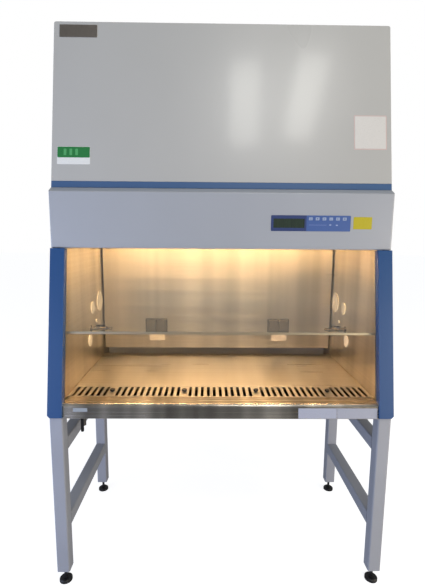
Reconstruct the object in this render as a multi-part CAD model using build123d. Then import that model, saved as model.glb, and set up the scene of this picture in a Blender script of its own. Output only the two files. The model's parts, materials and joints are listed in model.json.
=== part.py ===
from build123d import *
import os
from math import cos, radians, sin

# Biosafety cabinet on its stand. Millimetres and degrees. The pieces are drawn in the
# cabinet's own frame: x to the right from the middle, y back from the lower front edge,
# z up from the cabinet's underside. The last step moves them to stand on the floor.

# Cabinet shell
cabinet_width = 1300
cabinet_depth = 800
front_height = 1494
front_lean = 10
steel = 2
seam = 0.3
return_depth = 26
cover_corner = 8
cover_edge = 1.5
panel_flange = 20

# Front covers
hood_below_ceiling = 8
hood_face_height = 211
hood_lip_height = 16
hood_set_back = 10.5
hood_round = 5
stripe_gap = 1
stripe_height = 24
trim_width = 55
trim_chamfer = 9

# Work chamber
wall_space = 40
back_space = 105
work_height = 51
ceiling_height = 640
back_wall_foot = 83
back_wall_lip = 14
corner_slot = 7
ledge_width = 10
tray_clearance = 4
tray_gap = 6
tray_flange = 12

# Sill, intake grille and drain pan
sill_front = 9
sill_lean = 7
sill_height = 56
sill_round = 16
grille_front = 96
grille_depth = 110
slot_width = 12
slot_length = 98
slot_pitch = 24.4
slot_margin = 14
knob_shares = (-0.72, -0.24, 0.24, 0.72)
knob_radius = 10
knob_height = 11
pan_wall_height = 43

# Sash and its balance
sash_opening = 254
full_opening = 535
glass_thickness = 6
glass_depth = 34
glass_overlap = 55
glass_in_track = 14
edge_strip = 3
edge_lap = 6
edge_wall = 1.5
rail_height = 18
rail_wall = 3
arm_thickness = 12
arm_width = 80
sash_stop_gap = 2
track_wall = 3.7
track_play = 0.8
track_front_wall = 6.9
track_web = 8.5
belt_width = 14
belt_thickness = 2
belt_radius = 32
belt_axis_depth = 70
pulley_drop = 54
shoe_drop = 5
shaft_radius = 6
bearing_clearance = 0.05
pulley_rim = 3
pulley_rim_width = 1
weight_width = 78
weight_depth = 50
weight_length = 180
weight_margin = 17
weight_round = 3
wiper_height = 14

# Hood controls
panel_inset = 314
panel_rise = 99
panel_size = (302, 59)
panel_thickness = 1.2
panel_body = 7
panel_lap = 5
display_shift = -83
display_size = (118, 34)
display_thickness = 3
key_names = ("power", "lamp", "uv", "outlet", "mute", "menu")
first_key_shift = (-1, 17)
key_pitch = 25.8
key_size = (14, 11)
key_proud = 0.9
key_flange = 1.5

# Wall fittings: (distance from the back wall, height, hole radius, flange radius) of each plug
port_places = ((65, 345, 40, 50), (193, 335, 20, 29), (255, 188, 20, 28), (135, 258, 5, 9))
plug_flange = 4
plug_neck = 10
valve_from_back = 230
valve_height = 240
valve_barrel = 9
valve_length = 78
valve_flange = 15
valve_nozzle = 22
hose_ring_pitch = 6
valve_stem = 4
handle_reach = 34
handle_width = 10

# Outlets on the back wall
outlet_inset = 284
outlet_height = 205
outlet_size = (116, 76)
outlet_plate = 4
outlet_body = (100, 60, 40)
socket_slot = 8
lid_size = (44, 54)
lid_depth = 8
lid_wall = 2
lid_spacing = 54
lid_pin = 1.5
lid_barrel = 3
lid_ear = 4
lid_gap = 0.5

# Lamp, filters and blower
lamp_radius = 13
lamp_cap = 8
lamp_end_gap = 30
lamp_before_filter = 20
lamp_rise = 13
lamp_shelf = 34
shelf_before_filter = 32
holder_size = (20, 26, 38)
filter_behind_front = 103
filter_inset = 50
filter_height = 150
filter_before_wall = 5
filter_gap = 22
filter_frame = 20
pleat_pitch = 40
pleat_width = 16
pleat_depth = 55
diffuser_slot = (60, 7)
diffuser_pitch = (84, 24)
plenum_behind_front = 45.5
plenum_rise = 64
blower_share = 0.35
blower_rise_share = 0.535
blower_depth = 160
blower_outlet_shares = (0.83, 0.61)
inlet_share = 0.65
impeller_share = 0.71
impeller_depth = 112
blade_count = 14
blade_chord_share = 0.19
blade_turn = 40
motor_radius = 72
motor_length = 96
motor_shaft = 9
exhaust_width = 620
exhaust_height = 162
electrics_size = (440, 65, 140)
electrics_gap = 20
exhaust_gap = 10

# Top of the cabinet
guard_height = 56
guard_flange = 18
guard_slot = 10
guard_pitch = 20
guard_margin = 20
inlet_size = (50, 30)
inlet_shift = (150, 32)
inlet_proud = 10

# Drain under the pan
drain_inset = (90, 150)
drain_bore = 11.7
drain_flange = 22
drain_body = 16
drain_drop = 60
drain_nozzle = 9
drain_nozzle_length = 34
lever_length = 80
lever_width = 12
lever_thickness = 4

# Stand
stand_height = 700
tube = 50
tube_wall = 2.5
tube_round = 6
stand_inset = 5
front_leg_depth = 10
rear_leg_inset = 150
leg_clearance = 55
upper_rail_drop = 100
lower_rail_drop = 421
beam_height = 90
plate_thickness = 8
plate_length = 120
cap_thickness = 6
bolt_radius = 5
bolt_hole = 5.2
bolt_head = (8.5, 6.4)
bolt_offsets = (75, 103)
pad_height = 16
foot_radius = 25
foot_thickness = 12
foot_stem = 6
foot_stem_length = 118
foot_nut = (9.5, 8)

# Worked out from the above
half_width = cabinet_width / 2
chamber_half = half_width - wall_space
back_wall_depth = cabinet_depth - back_space
lean_sin = sin(radians(front_lean))
lean_cos = cos(radians(front_lean))
lean_slope = lean_sin / lean_cos
hood_bottom = ceiling_height - hood_below_ceiling
hood_peak = hood_bottom + hood_face_height
hood_top = hood_peak + hood_lip_height
hood_face = hood_bottom * lean_slope + hood_set_back
stripe_bottom = hood_top + stripe_gap
panel_centre = (half_width - panel_inset, hood_bottom + panel_rise)
display_centre = (panel_centre[0] + display_shift, panel_centre[1])
first_key = (panel_centre[0] + first_key_shift[0], panel_centre[1] + first_key_shift[1])
knob_places = [round(share * chamber_half / slot_pitch) * slot_pitch for share in knob_shares]
outlet_places = (outlet_inset - chamber_half, chamber_half - outlet_inset)
valve_depth = back_wall_depth - valve_from_back
glass_back = glass_depth + glass_thickness
glass_length = (hood_bottom - sill_height) / lean_cos + glass_overlap
pulley_height = front_height - pulley_drop
shoe_height = ceiling_height - shoe_drop
inner_wall_inset = (glass_back + track_play + track_wall + seam) / lean_cos
work_underside = work_height - steel
grille_back = grille_front + grille_depth
tray_back = back_wall_depth - tray_gap
side_inner = half_width - steel
back_inner = cabinet_depth - steel
lamp_length = 2 * (chamber_half - lamp_end_gap)
lamp_height = ceiling_height + lamp_rise
filter_front = ceiling_height * lean_slope + filter_behind_front
filter_back = back_wall_depth - filter_before_wall
filter_bottom = ceiling_height + steel + filter_gap
filter_top = filter_bottom + filter_height
filter_half = chamber_half - filter_inset
lamp_depth = filter_front - lamp_before_filter
shelf_front = filter_front - shelf_before_filter
top_underside = front_height - steel
plenum_top = top_underside - exhaust_height
plenum_front = plenum_top * lean_slope + plenum_behind_front
blower_room = plenum_top - filter_top
blower_radius = blower_share * blower_room
blower_height = filter_top + blower_rise_share * blower_room
blower_outlet = [share * blower_radius for share in blower_outlet_shares]
inlet_radius = inlet_share * blower_radius
impeller_radius = impeller_share * blower_radius
blade_chord = blade_chord_share * blower_radius
electrics_front = pulley_height * lean_slope + belt_axis_depth / lean_cos + electrics_gap
inlet_place = (inlet_shift[0], electrics_front + inlet_shift[1])
exhaust_half = exhaust_width / 2
exhaust_front = electrics_front + electrics_size[1] + exhaust_gap
drain_place = (drain_inset[0] - half_width, drain_inset[1])
leg_x = (half_width - stand_inset - tube, half_width - stand_inset)
rear_leg_depth = cabinet_depth - rear_leg_inset - tube
foot_drop = stand_height - leg_clearance
trim_foot = return_depth * lean_slope
foremost = (trim_foot + cover_edge) * lean_sin + cover_edge * lean_cos - cover_edge
middle_depth = (foremost + cabinet_depth) / 2


def front_at(height):
    """Depth of the leaning front plane at a height."""
    return height * lean_slope


def along_front(height, depth=0):
    """Distance up the leaning front, measured square to it, of a point at a height."""
    return (height + depth * lean_sin) / lean_cos


def on_front(shape):
    """Turns a piece drawn upright so that it lies along the leaning front."""
    return Location((0, 0, 0), (-front_lean, 0, 0)) * shape


def block(x, y, z):
    """A box between three pairs of limits."""
    size = [high - low for low, high in (x, y, z)]
    middle = [(high + low) / 2 for low, high in (x, y, z)]
    return Pos(*middle) * Box(*size)


def outline(points):
    """A closed outline in depth and height."""
    return make_face(Polyline(*points, close=True))


def across(face, x):
    """An outline in depth and height, drawn out across the width between two limits."""
    return Pos(x[0], 0, 0) * extrude(Plane.YZ * face, x[1] - x[0], dir=(1, 0, 0))


def side_profile(points, x):
    """A solid with a plain outline in depth and height."""
    return across(outline(points), x)


def sheet_room(face, x, openings):
    """The space inside a sheet cover, carried on towards each open side."""
    inside = across(offset(face, -steel, kind=Kind.INTERSECTION), x)
    return [inside] + [Pos(0, *shift) * inside for shift in openings]


def rod(radius, start, length, axis):
    """A round bar from a point, along X, Y or Z."""
    turn = {"x": (0, 90, 0), "y": (-90, 0, 0), "z": (0, 0, 0)}[axis]
    upright = Cylinder(radius, length, align=(Align.CENTER, Align.CENTER, Align.MIN))
    return Location(start, turn) * upright


def ring(outer, inner, start, length, axis):
    """A round sleeve from a point, along X, Y or Z."""
    return rod(outer, start, length, axis) - rod(inner, start, length, axis)


def rounded_block(x, y, z, radius, axis):
    """A box whose edges along one axis are rounded."""
    box = block(x, y, z)
    return fillet(box.edges().filter_by(axis), radius)


def mirrored(shape):
    """The same piece on the other side of the cabinet."""
    return mirror(shape, about=Plane.YZ)


def both_sides(shape):
    """A piece and its mirror image."""
    return [mirrored(shape), shape]


def folded_cover(x, height, round_top=False, chamfer_outer=0):
    """A cover on the front plane: a sheet whose four edges fold back."""
    middle = ((x[0] + x[1]) / 2, (height[0] + height[1]) / 2)
    outline = Pos(*middle) * Rectangle(x[1] - x[0], height[1] - height[0])
    if round_top:
        outline = fillet(outline.vertices().group_by(Axis.Y)[-1], cover_corner)
    if chamfer_outer:
        lowest = outline.vertices().group_by(Axis.Y)[0]
        outline = chamfer(lowest.sort_by(Axis.X)[-1:], chamfer_outer)
    outer = extrude(Plane.XZ * outline, return_depth, dir=(0, 1, 0))
    outer = fillet(outer.faces().sort_by(Axis.Y)[0].edges(), cover_edge)
    inside = Plane.XZ * offset(outline, -steel, kind=Kind.INTERSECTION)
    hollow = Pos(0, steel, 0) * extrude(inside, return_depth, dir=(0, 1, 0))
    return on_front(outer - hollow)


# Stand


def leg(y, plate_y):
    """A leg tube with its bearing plate on top and a tapped cap at its foot."""
    bottom = -foot_drop
    outer = rounded_block(leg_x, y, (bottom, -plate_thickness), tube_round, Axis.Z)
    inner = block(
        (leg_x[0] + tube_wall, leg_x[1] - tube_wall),
        (y[0] + tube_wall, y[1] - tube_wall),
        (bottom + cap_thickness, -plate_thickness),
    )
    plate = rounded_block(leg_x, plate_y, (-plate_thickness, 0), tube_round, Axis.Z)
    middle = ((leg_x[0] + leg_x[1]) / 2, (y[0] + y[1]) / 2)
    stem_hole = rod(foot_stem + bearing_clearance, (*middle, bottom), cap_thickness, "z")
    holes = [
        rod(bolt_hole, (middle[0], place, -plate_thickness), plate_thickness, "z")
        for place in bolt_depths(y, plate_y)
    ]
    return outer - inner + plate - stem_hole - holes


def bolt_depths(y, plate_y):
    """Depths of a leg's two bolts, in the part of its plate that stands clear of the tube."""
    if plate_y[1] > y[1]:
        return [y[0] + offset for offset in bolt_offsets]
    return [y[1] - offset for offset in bolt_offsets]


def leg_depths():
    """Depth limits of the front and rear legs, and of the plates on them."""
    front = (front_leg_depth, front_leg_depth + tube)
    rear = (rear_leg_depth, rear_leg_depth + tube)
    front_plate = (front[0], front[0] + plate_length)
    rear_plate = (rear[1] - plate_length, rear[1])
    return (front, front_plate), (rear, rear_plate)


def stand_frame():
    """A side frame: two legs and two rails of square tube."""
    (front, front_plate), (rear, rear_plate) = leg_depths()
    pieces = [leg(front, front_plate), leg(rear, rear_plate)]
    for drop in (upper_rail_drop, lower_rail_drop):
        height = (-drop - tube, -drop)
        outer = rounded_block(leg_x, (front[1], rear[0]), height, tube_round, Axis.Y)
        inner = block(
            (leg_x[0] + tube_wall, leg_x[1] - tube_wall),
            (front[1], rear[0]),
            (height[0] + tube_wall, height[1] - tube_wall),
        )
        pieces.append(outer - inner)
    return pieces


def stand_cross_beam():
    """The beam that ties the two rear legs together under the cabinet."""
    x = (-leg_x[0], leg_x[0])
    y = (rear_leg_depth, rear_leg_depth + tube)
    height = (-upper_rail_drop - beam_height, -upper_rail_drop)
    outer = rounded_block(x, y, height, tube_round, Axis.X)
    inner = block(
        x,
        (y[0] + tube_wall, y[1] - tube_wall),
        (height[0] + tube_wall, height[1] - tube_wall),
    )
    return outer - inner


def levelling_foot(y):
    """A foot pad with its stem and nut, screwed fully home."""
    middle = ((leg_x[0] + leg_x[1]) / 2, (y[0] + y[1]) / 2)
    floor = -stand_height
    pad = rod(foot_radius, (*middle, floor), foot_thickness, "z")
    pad = chamfer(pad.edges().sort_by(Axis.Z)[-1], foot_thickness / 3)
    stem = rod(foot_stem, (*middle, floor + foot_thickness), foot_stem_length, "z")
    nut_radius, nut_height = foot_nut
    nut = extrude(RegularPolygon(nut_radius, 6), nut_height)
    return pad + stem + Pos(*middle, floor + foot_thickness) * nut


def stand_bolts():
    """Hex bolts up through the leg plates into the pads of the drain pan."""
    head_radius, head_height = bolt_head
    bolts = []
    for y, plate_y in leg_depths():
        for place in bolt_depths(y, plate_y):
            head = extrude(RegularPolygon(head_radius, 6), head_height)
            shank_length = plate_thickness + pad_height - steel
            shank = rod(bolt_radius, (0, 0, head_height), shank_length, "z")
            bottom = -plate_thickness - head_height
            bolts += both_sides(Pos((leg_x[0] + leg_x[1]) / 2, place, bottom) * (head + shank))
    return bolts


# Outer shell


def side_panel():
    """The outer side sheet, from the front covers' folds to the back panel."""
    inset = return_depth / lean_cos + seam
    points = [
        (front_at(0) + inset, 0),
        (front_at(top_underside) + inset, top_underside),
        (back_inner - seam, top_underside),
        (back_inner - seam, 0),
    ]
    return side_profile(points, (side_inner, half_width))


def back_panel():
    """The back sheet with two folds that stand inside the side panels."""
    plate = block((-half_width, half_width), (back_inner, cabinet_depth), (0, top_underside))
    fold = block(
        (side_inner - seam - steel, side_inner - seam),
        (back_inner - panel_flange, back_inner),
        (steel + seam, top_underside - steel - seam),
    )
    return plate + fold + mirrored(fold)


def top_panel():
    """The lid sheet, with the exhaust opening and the hole for the power inlet."""
    front = front_at(front_height) + return_depth + seam
    plate = block((-half_width, half_width), (front, cabinet_depth), (top_underside, front_height))
    opening = block(
        (-exhaust_half + filter_frame, exhaust_half - filter_frame),
        (exhaust_front + filter_frame, filter_back - filter_frame),
        (top_underside, front_height),
    )
    return plate - opening - inlet_body(seam)


def inlet_body(clearance=0):
    """The part of the power inlet that passes down through the top."""
    half_x = inlet_size[0] / 2 - panel_lap + clearance
    half_y = inlet_size[1] / 2 - panel_lap + clearance
    x, y = inlet_place
    return block(
        (x - half_x, x + half_x),
        (y - half_y, y + half_y),
        (top_underside - inlet_size[1], front_height),
    )


def power_inlet():
    """The mains inlet on top: a flanged socket with a recess and three blades."""
    x, y = inlet_place
    half_x, half_y = inlet_size[0] / 2, inlet_size[1] / 2
    flange = rounded_block(
        (x - half_x, x + half_x),
        (y - half_y, y + half_y),
        (front_height, front_height + inlet_proud),
        panel_lap,
        Axis.Z,
    )
    recess = block(
        (x - half_x + 2 * panel_lap, x + half_x - 2 * panel_lap),
        (y - half_y + panel_lap, y + half_y - panel_lap),
        (front_height - inlet_proud, front_height + inlet_proud),
    )
    blades = [
        block(
            (x + shift - steel / 2, x + shift + steel / 2),
            (y - inlet_proud / 4, y + inlet_proud / 4),
            (front_height - inlet_proud, front_height + inlet_proud / 2),
        )
        for shift in (-panel_lap, 0, panel_lap)
    ]
    return flange + inlet_body() - recess + blades


def exhaust_guard():
    """The slotted cap over the exhaust filter's outlet."""
    x = (-exhaust_half + filter_frame, exhaust_half - filter_frame)
    y = (exhaust_front + filter_frame, filter_back - filter_frame)
    z = (front_height, front_height + guard_height)
    box = rounded_block(x, y, z, cover_corner, Axis.Z)
    hollow = block(
        (x[0] + steel, x[1] - steel), (y[0] + steel, y[1] - steel), (z[0], z[1] - steel)
    )
    flange = block(
        (x[0] - guard_flange, x[1] + guard_flange),
        (y[0] - guard_flange, y[1] + guard_flange),
        (z[0], z[0] + steel),
    )
    length = y[1] - y[0] - 2 * guard_margin
    count = int((x[1] - x[0] - 2 * guard_pitch) / guard_pitch)
    middle_y = (y[0] + y[1]) / 2
    slots = [
        Pos(place.position.X, middle_y, z[1] - steel / 2) * Box(guard_slot, length, 2 * steel)
        for place in GridLocations(guard_pitch, 1, count, 1)
    ]
    return box + flange - hollow - slots


# Front covers


def upper_front_panel():
    """The large cover over the filters, with its corners rounded at the top."""
    low = along_front(stripe_bottom + stripe_height + seam)
    return folded_cover((-half_width, half_width), (low, along_front(front_height)), True)


def accent_stripe():
    """The blue band between the upper cover and the hood."""
    low = along_front(stripe_bottom)
    high = along_front(stripe_bottom + stripe_height)
    return folded_cover((-half_width, half_width), (low, high))


def side_trim():
    """The blue cover down the side of the front opening."""
    high = along_front(hood_bottom - seam)
    x = (half_width - trim_width, half_width)
    return folded_cover(x, (trim_foot, high), False, trim_chamfer)


def control_hood():
    """The hood over the opening: an upright face under a sloping lip, open at the back."""
    points = [
        (front_at(hood_top) + return_depth * lean_cos, hood_top - return_depth * lean_sin),
        (front_at(hood_top), hood_top),
        (hood_face, hood_peak),
        (hood_face, hood_bottom),
        (front_at(hood_bottom) + return_depth, hood_bottom),
    ]
    solid = side_profile(points, (-half_width, half_width))
    solid = fillet(solid.faces().sort_by(Axis.Y)[0].edges(), hood_round)
    room_x = (steel - half_width, half_width - steel)
    room = sheet_room(outline(points), room_x, [(2 * steel, 0)])
    return solid - room - panel_window(panel_lap - seam)


def panel_window(lap):
    """The body of the control panel where it passes through the hood's face."""
    x, z = panel_centre
    half_x, half_z = panel_size[0] / 2 - lap, panel_size[1] / 2 - lap
    return block((x - half_x, x + half_x), (hood_face, hood_face + panel_body), (z - half_z, z + half_z))


# Hood controls


def key_places():
    """Centre of each key, across and up."""
    return [(first_key[0] + index * key_pitch, first_key[1]) for index in range(len(key_names))]


def key_hole(place):
    """The hole in the control panel that a key slides in."""
    half_x, half_z = key_size[0] / 2 + seam, key_size[1] / 2 + seam
    return block(
        (place[0] - half_x, place[0] + half_x),
        (hood_face - panel_thickness, hood_face + panel_body),
        (place[1] - half_z, place[1] + half_z),
    )


def control_panel():
    """The blue control panel: a face plate and a body, with pockets for keys and display."""
    x, z = panel_centre
    half_x, half_z = panel_size[0] / 2, panel_size[1] / 2
    face = rounded_block(
        (x - half_x, x + half_x),
        (hood_face - panel_thickness, hood_face),
        (z - half_z, z + half_z),
        panel_lap / 2,
        Axis.Y,
    )
    holes = [key_hole(place) for place in key_places()]
    return face + panel_window(panel_lap) - holes - display_window(seam)


def display_window(clearance=0):
    """The dark window of the display, flush in the control panel."""
    x, z = display_centre
    half_x, half_z = display_size[0] / 2 + clearance, display_size[1] / 2 + clearance
    front = hood_face - panel_thickness
    return block(
        (x - half_x, x + half_x), (front, front + display_thickness), (z - half_z, z + half_z)
    )


def key(place):
    """A key with a flange behind the panel that stops it coming out."""
    half_x, half_z = key_size[0] / 2, key_size[1] / 2
    back = hood_face + panel_body + seam
    cap = rounded_block(
        (place[0] - half_x, place[0] + half_x),
        (hood_face - panel_thickness - key_proud, back),
        (place[1] - half_z, place[1] + half_z),
        key_flange,
        Axis.Y,
    )
    flange = block(
        (place[0] - half_x - key_flange, place[0] + half_x + key_flange),
        (back, back + key_flange),
        (place[1] - half_z - key_flange, place[1] + half_z + key_flange),
    )
    return cap + flange


# Work chamber


def inner_side_wall():
    """The stainless side wall with its ledge for the tray and its holes for fittings."""
    points = [
        (front_at(steel) + inner_wall_inset, steel),
        (front_at(ceiling_height) + inner_wall_inset, ceiling_height),
        (back_inner - seam, ceiling_height),
        (back_inner - seam, steel),
    ]
    wall = side_profile(points, (chamber_half, chamber_half + steel))
    ledge = block(
        (chamber_half - ledge_width, chamber_half),
        (grille_front, tray_back),
        (work_underside - seam - steel, work_underside - seam),
    )
    holes = [
        rod(radius, (chamber_half, back_wall_depth - distance, height), steel, "x")
        for distance, height, radius, _ in port_places
    ]
    valve_hole = rod(valve_barrel, (chamber_half, valve_depth, valve_height), steel, "x")
    return wall + ledge - holes - valve_hole


def inner_back_wall():
    """The stainless back wall, lifted clear of the tray, with a lip along its foot."""
    half = chamber_half - corner_slot
    wall = block(
        (-half, half),
        (back_wall_depth, back_wall_depth + steel),
        (back_wall_foot, ceiling_height),
    )
    lip = block(
        (-half, half),
        (back_wall_depth, back_wall_depth + back_wall_lip),
        (back_wall_foot, back_wall_foot + steel),
    )
    return wall + lip - [outlet_box(place, seam) for place in outlet_places]


def work_tray():
    """The lift-out work surface with folds under its front and back edges."""
    half = chamber_half - tray_clearance
    y = (grille_back + steel, tray_back)
    plate = block((-half, half), y, (work_underside, work_height))
    plate = fillet(plate.edges().filter_by(Axis.X).group_by(Axis.Z)[-1], steel / 2)
    inner = half - ledge_width
    low = work_underside - tray_flange
    folds = [
        block((-inner, inner), (start, start + steel), (low, work_underside))
        for start in (y[0], y[1] - steel)
    ]
    ribs = [
        block((-inner, inner), (depth, depth + 2 * ledge_width), (low, work_underside))
        for depth in (y[0] + (y[1] - y[0]) / 3, y[0] + (y[1] - y[0]) * 2 / 3)
    ]
    return plate + folds + ribs


def front_grille():
    """The slotted air intake between the sill and the tray."""
    half = chamber_half - tray_clearance
    y = (grille_front, grille_back)
    plate = block((-half, half), y, (work_underside, work_height))
    inner = half - ledge_width
    low = work_underside - tray_flange
    folds = [
        block((-inner, inner), (start, start + steel), (low, work_underside))
        for start in (y[0], y[1] - steel)
    ]
    count = 2 * int((half - slot_margin) / slot_pitch) + 1
    middle = ((y[0] + y[1]) / 2, (work_underside + work_height) / 2)
    slot = extrude(SlotOverall(slot_length, slot_width, rotation=90), steel, both=True)
    solid_under = [
        Pos(place, *middle) * Box(2 * knob_radius + steel, slot_length, 2 * steel)
        for place in knob_places
    ]
    slots = [
        Pos(place.position.X, *middle) * slot
        for place in GridLocations(slot_pitch, 1, count, 1)
    ]
    return plate + folds - (Compound(children=slots) - solid_under)


def grille_knobs():
    """Knobs that lift the grille out."""
    knobs = []
    for place in knob_places:
        start = (place, (grille_front + grille_back) / 2, work_height)
        post = rod(knob_radius * 0.6, start, knob_height / 3, "z")
        cap_start = (start[0], start[1], work_height + knob_height / 3)
        cap = rod(knob_radius, cap_start, knob_height * 2 / 3, "z")
        knobs.append(post + fillet(cap.edges().sort_by(Axis.Z)[-1], knob_radius / 4))
    return knobs


def drain_pan():
    """The pan under the tray, one sheet with the rolled sill and apron at the front."""
    apron_half = half_width - trim_width - seam
    points = [
        (sill_front, 0),
        (sill_front + sill_lean, sill_height),
        (grille_front - steel, work_height),
        (grille_front - steel, 0),
    ]
    section = outline(points)
    section = fillet(section.vertices().sort_by(Axis.Y)[-1], sill_round)
    room = sheet_room(section, (-half_width, half_width), [(0, -2 * steel), (2 * steel, 0)])
    apron = across(section, (-apron_half, apron_half)) - room
    floor_front = sill_front + return_depth + seam
    floor = block(
        (-side_inner + seam, side_inner - seam), (floor_front, back_inner - seam), (0, steel)
    )
    toe = block((-apron_half, apron_half), (sill_front, floor_front), (0, steel))
    wall_start = chamber_half + steel + seam
    wall = block(
        (wall_start, wall_start + steel),
        (inner_wall_inset + panel_flange, back_inner - seam),
        (0, pan_wall_height),
    )
    pads = []
    for y, plate_y in leg_depths():
        depths = bolt_depths(y, plate_y)
        pad = block(
            (wall_start, side_inner - seam),
            (min(depths) - bolt_head[0], max(depths) + bolt_head[0]),
            (0, pad_height),
        )
        holes = [
            rod(bolt_hole, ((leg_x[0] + leg_x[1]) / 2, place, 0), pad_height - steel, "z")
            for place in depths
        ]
        pads += both_sides(pad - holes)
    pan = apron + floor + toe + wall + mirrored(wall)
    bores = [
        rod(bolt_hole, (side * (leg_x[0] + leg_x[1]) / 2, place, 0), steel, "z")
        for y, plate_y in leg_depths()
        for place in bolt_depths(y, plate_y)
        for side in (-1, 1)
    ]
    drain = rod(drain_bore + seam, (*drain_place, 0), steel, "z")
    return pan - bores + pads - drain


def port_plugs():
    """Round plugs in the side walls' ports."""
    plugs = []
    for distance, height, radius, flange_radius in port_places:
        start = (chamber_half - plug_flange, back_wall_depth - distance, height)
        flange = rod(flange_radius, start, plug_flange, "x")
        flange = fillet(flange.edges().sort_by(Axis.X)[0], plug_flange / 2)
        neck = rod(radius - seam, start, plug_flange + plug_neck, "x")
        plugs += both_sides(flange + neck)
    return plugs


def valve_stem_x():
    """Where a valve's stem crosses its barrel."""
    return chamber_half - valve_flange - 2 * handle_width


def service_valve():
    """A service cock on the side wall: flange, barrel, stem boss and hose nozzle."""
    start = (chamber_half, valve_depth, valve_height)
    flange = rod(valve_flange, (chamber_half - plug_flange, *start[1:]), plug_flange, "x")
    barrel = rod(valve_barrel, (chamber_half - valve_length, *start[1:]), valve_length, "x")
    neck = rod(valve_barrel - seam, start, plug_neck, "x")
    nozzle_start = chamber_half - valve_length - valve_nozzle
    nozzle = rod(valve_barrel * 0.6, (nozzle_start, *start[1:]), valve_nozzle, "x")
    rings = [
        rod(valve_barrel * 0.75, (nozzle_start + shift, *start[1:]), valve_nozzle / 8, "x")
        for shift in (hose_ring_pitch / 3, hose_ring_pitch * 4 / 3, hose_ring_pitch * 7 / 3)
    ]
    boss_start = (valve_stem_x(), valve_depth, valve_height)
    boss = rod(2 * valve_stem, boss_start, valve_barrel + valve_stem, "z")
    bore = rod(valve_stem + bearing_clearance, boss_start, valve_barrel + valve_stem, "z")
    return flange + barrel + neck + nozzle + rings + boss - bore


def valve_handle():
    """The quarter-turn handle of a service cock, along its barrel when open."""
    x = valve_stem_x()
    bottom = valve_height + seam
    top = valve_height + valve_barrel + valve_stem + seam
    stem = rod(valve_stem, (x, valve_depth, bottom), top - bottom, "z")
    bar = rounded_block(
        (x - handle_reach, x + handle_width),
        (valve_depth - handle_width / 2, valve_depth + handle_width / 2),
        (top, top + valve_stem),
        handle_width / 2 - steel / 2,
        Axis.Z,
    )
    return stem + bar


def outlet_box(place, clearance=0):
    """The body of an outlet where it passes back through the wall."""
    width, height, depth = outlet_body
    half_x, half_z = width / 2 + clearance, height / 2 + clearance
    return block(
        (place - half_x, place + half_x),
        (back_wall_depth, back_wall_depth + depth),
        (outlet_height - half_z, outlet_height + half_z),
    )


def lid_axis():
    """Depth and height of the lids' hinge line."""
    depth = back_wall_depth - outlet_plate - lid_gap - lid_barrel
    return depth, outlet_height + lid_size[1] / 2 + lid_barrel


def outlet(place):
    """A twin outlet: its plate, body, sockets and the ears for the two lids."""
    half_x, half_z = outlet_size[0] / 2, outlet_size[1] / 2
    front = back_wall_depth - outlet_plate
    plate = rounded_block(
        (place - half_x, place + half_x),
        (front, back_wall_depth),
        (outlet_height - half_z, outlet_height + half_z),
        outlet_plate,
        Axis.Y,
    )
    body = plate + outlet_box(place)
    depth, height = lid_axis()
    for centre in (place - lid_spacing / 2, place + lid_spacing / 2):
        for shift in (-panel_lap, panel_lap):
            slot_x = (centre + shift - steel / 2, centre + shift + steel / 2)
            slot_z = (outlet_height, outlet_height + socket_slot)
            body -= block(slot_x, (front, front + 3 * outlet_plate), slot_z)
        body -= rod(steel, (centre, front, outlet_height - socket_slot), 3 * outlet_plate, "y")
        for side in (-1, 1):
            near = centre + side * (lid_size[0] / 2 - lid_ear)
            far = centre + side * lid_size[0] / 2
            end = (min(near, far), depth, height)
            ear = block(
                (end[0], end[0] + lid_ear),
                (depth, front),
                (height - lid_barrel, height + lid_barrel),
            )
            ear += rod(lid_barrel, end, lid_ear, "x")
            body = body + ear - rod(lid_pin + bearing_clearance, end, lid_ear, "x")
    return body


def outlet_lid(centre):
    """A splash lid that hinges up on its own pin."""
    depth, height = lid_axis()
    half = lid_size[0] / 2
    back = back_wall_depth - outlet_plate - lid_gap
    low = outlet_height - lid_size[1] / 2
    high = height - lid_barrel - lid_gap
    x = (centre - half, centre + half)
    shell = rounded_block(x, (back - lid_depth, back), (low, high), lid_wall, Axis.Y)
    shell -= block(
        (centre - half + lid_wall, centre + half - lid_wall),
        (back - lid_depth + lid_wall, back),
        (low + lid_wall, high - lid_wall),
    )
    barrel_half = half - lid_ear - lid_gap
    barrel = rod(lid_barrel, (centre - barrel_half, depth, height), 2 * barrel_half, "x")
    neck = block(
        (centre - barrel_half, centre + barrel_half),
        (depth - lid_barrel, depth),
        (high - lid_wall, height),
    )
    pin = rod(lid_pin, (centre - half, depth, height), 2 * half, "x")
    return shell + barrel + neck + pin


# Sash


def sash_foot():
    """Distance up the front of the sash's lower edge at its working height."""
    return along_front(work_height + sash_opening, glass_depth + glass_thickness / 2)


def sash_head():
    """Distance up the front of the glass's upper edge at its working height."""
    return sash_foot() + edge_strip + glass_length


def sash_travel():
    """How far the sash slides down to the sill and up to its full opening."""
    down = (sash_opening - (sill_height - work_height) - sash_stop_gap) / lean_cos
    up = (full_opening - sash_opening) / lean_cos
    return down, up


def sash_glass():
    """The glass of the sash."""
    low = sash_foot() + edge_strip
    half = chamber_half + steel
    return on_front(block((-half, half), (glass_depth, glass_back), (low, low + glass_length)))


def sash_edge_strip():
    """The strip along the sash's lower edge."""
    low = sash_foot()
    half = chamber_half - glass_in_track - steel
    strip = block(
        (-half, half),
        (glass_depth - edge_wall, glass_back + edge_wall),
        (low, low + edge_strip + edge_lap),
    )
    groove = block((-half, half), (glass_depth, glass_back), (low + edge_strip, low + 2 * edge_lap))
    return on_front(strip - groove)


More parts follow.
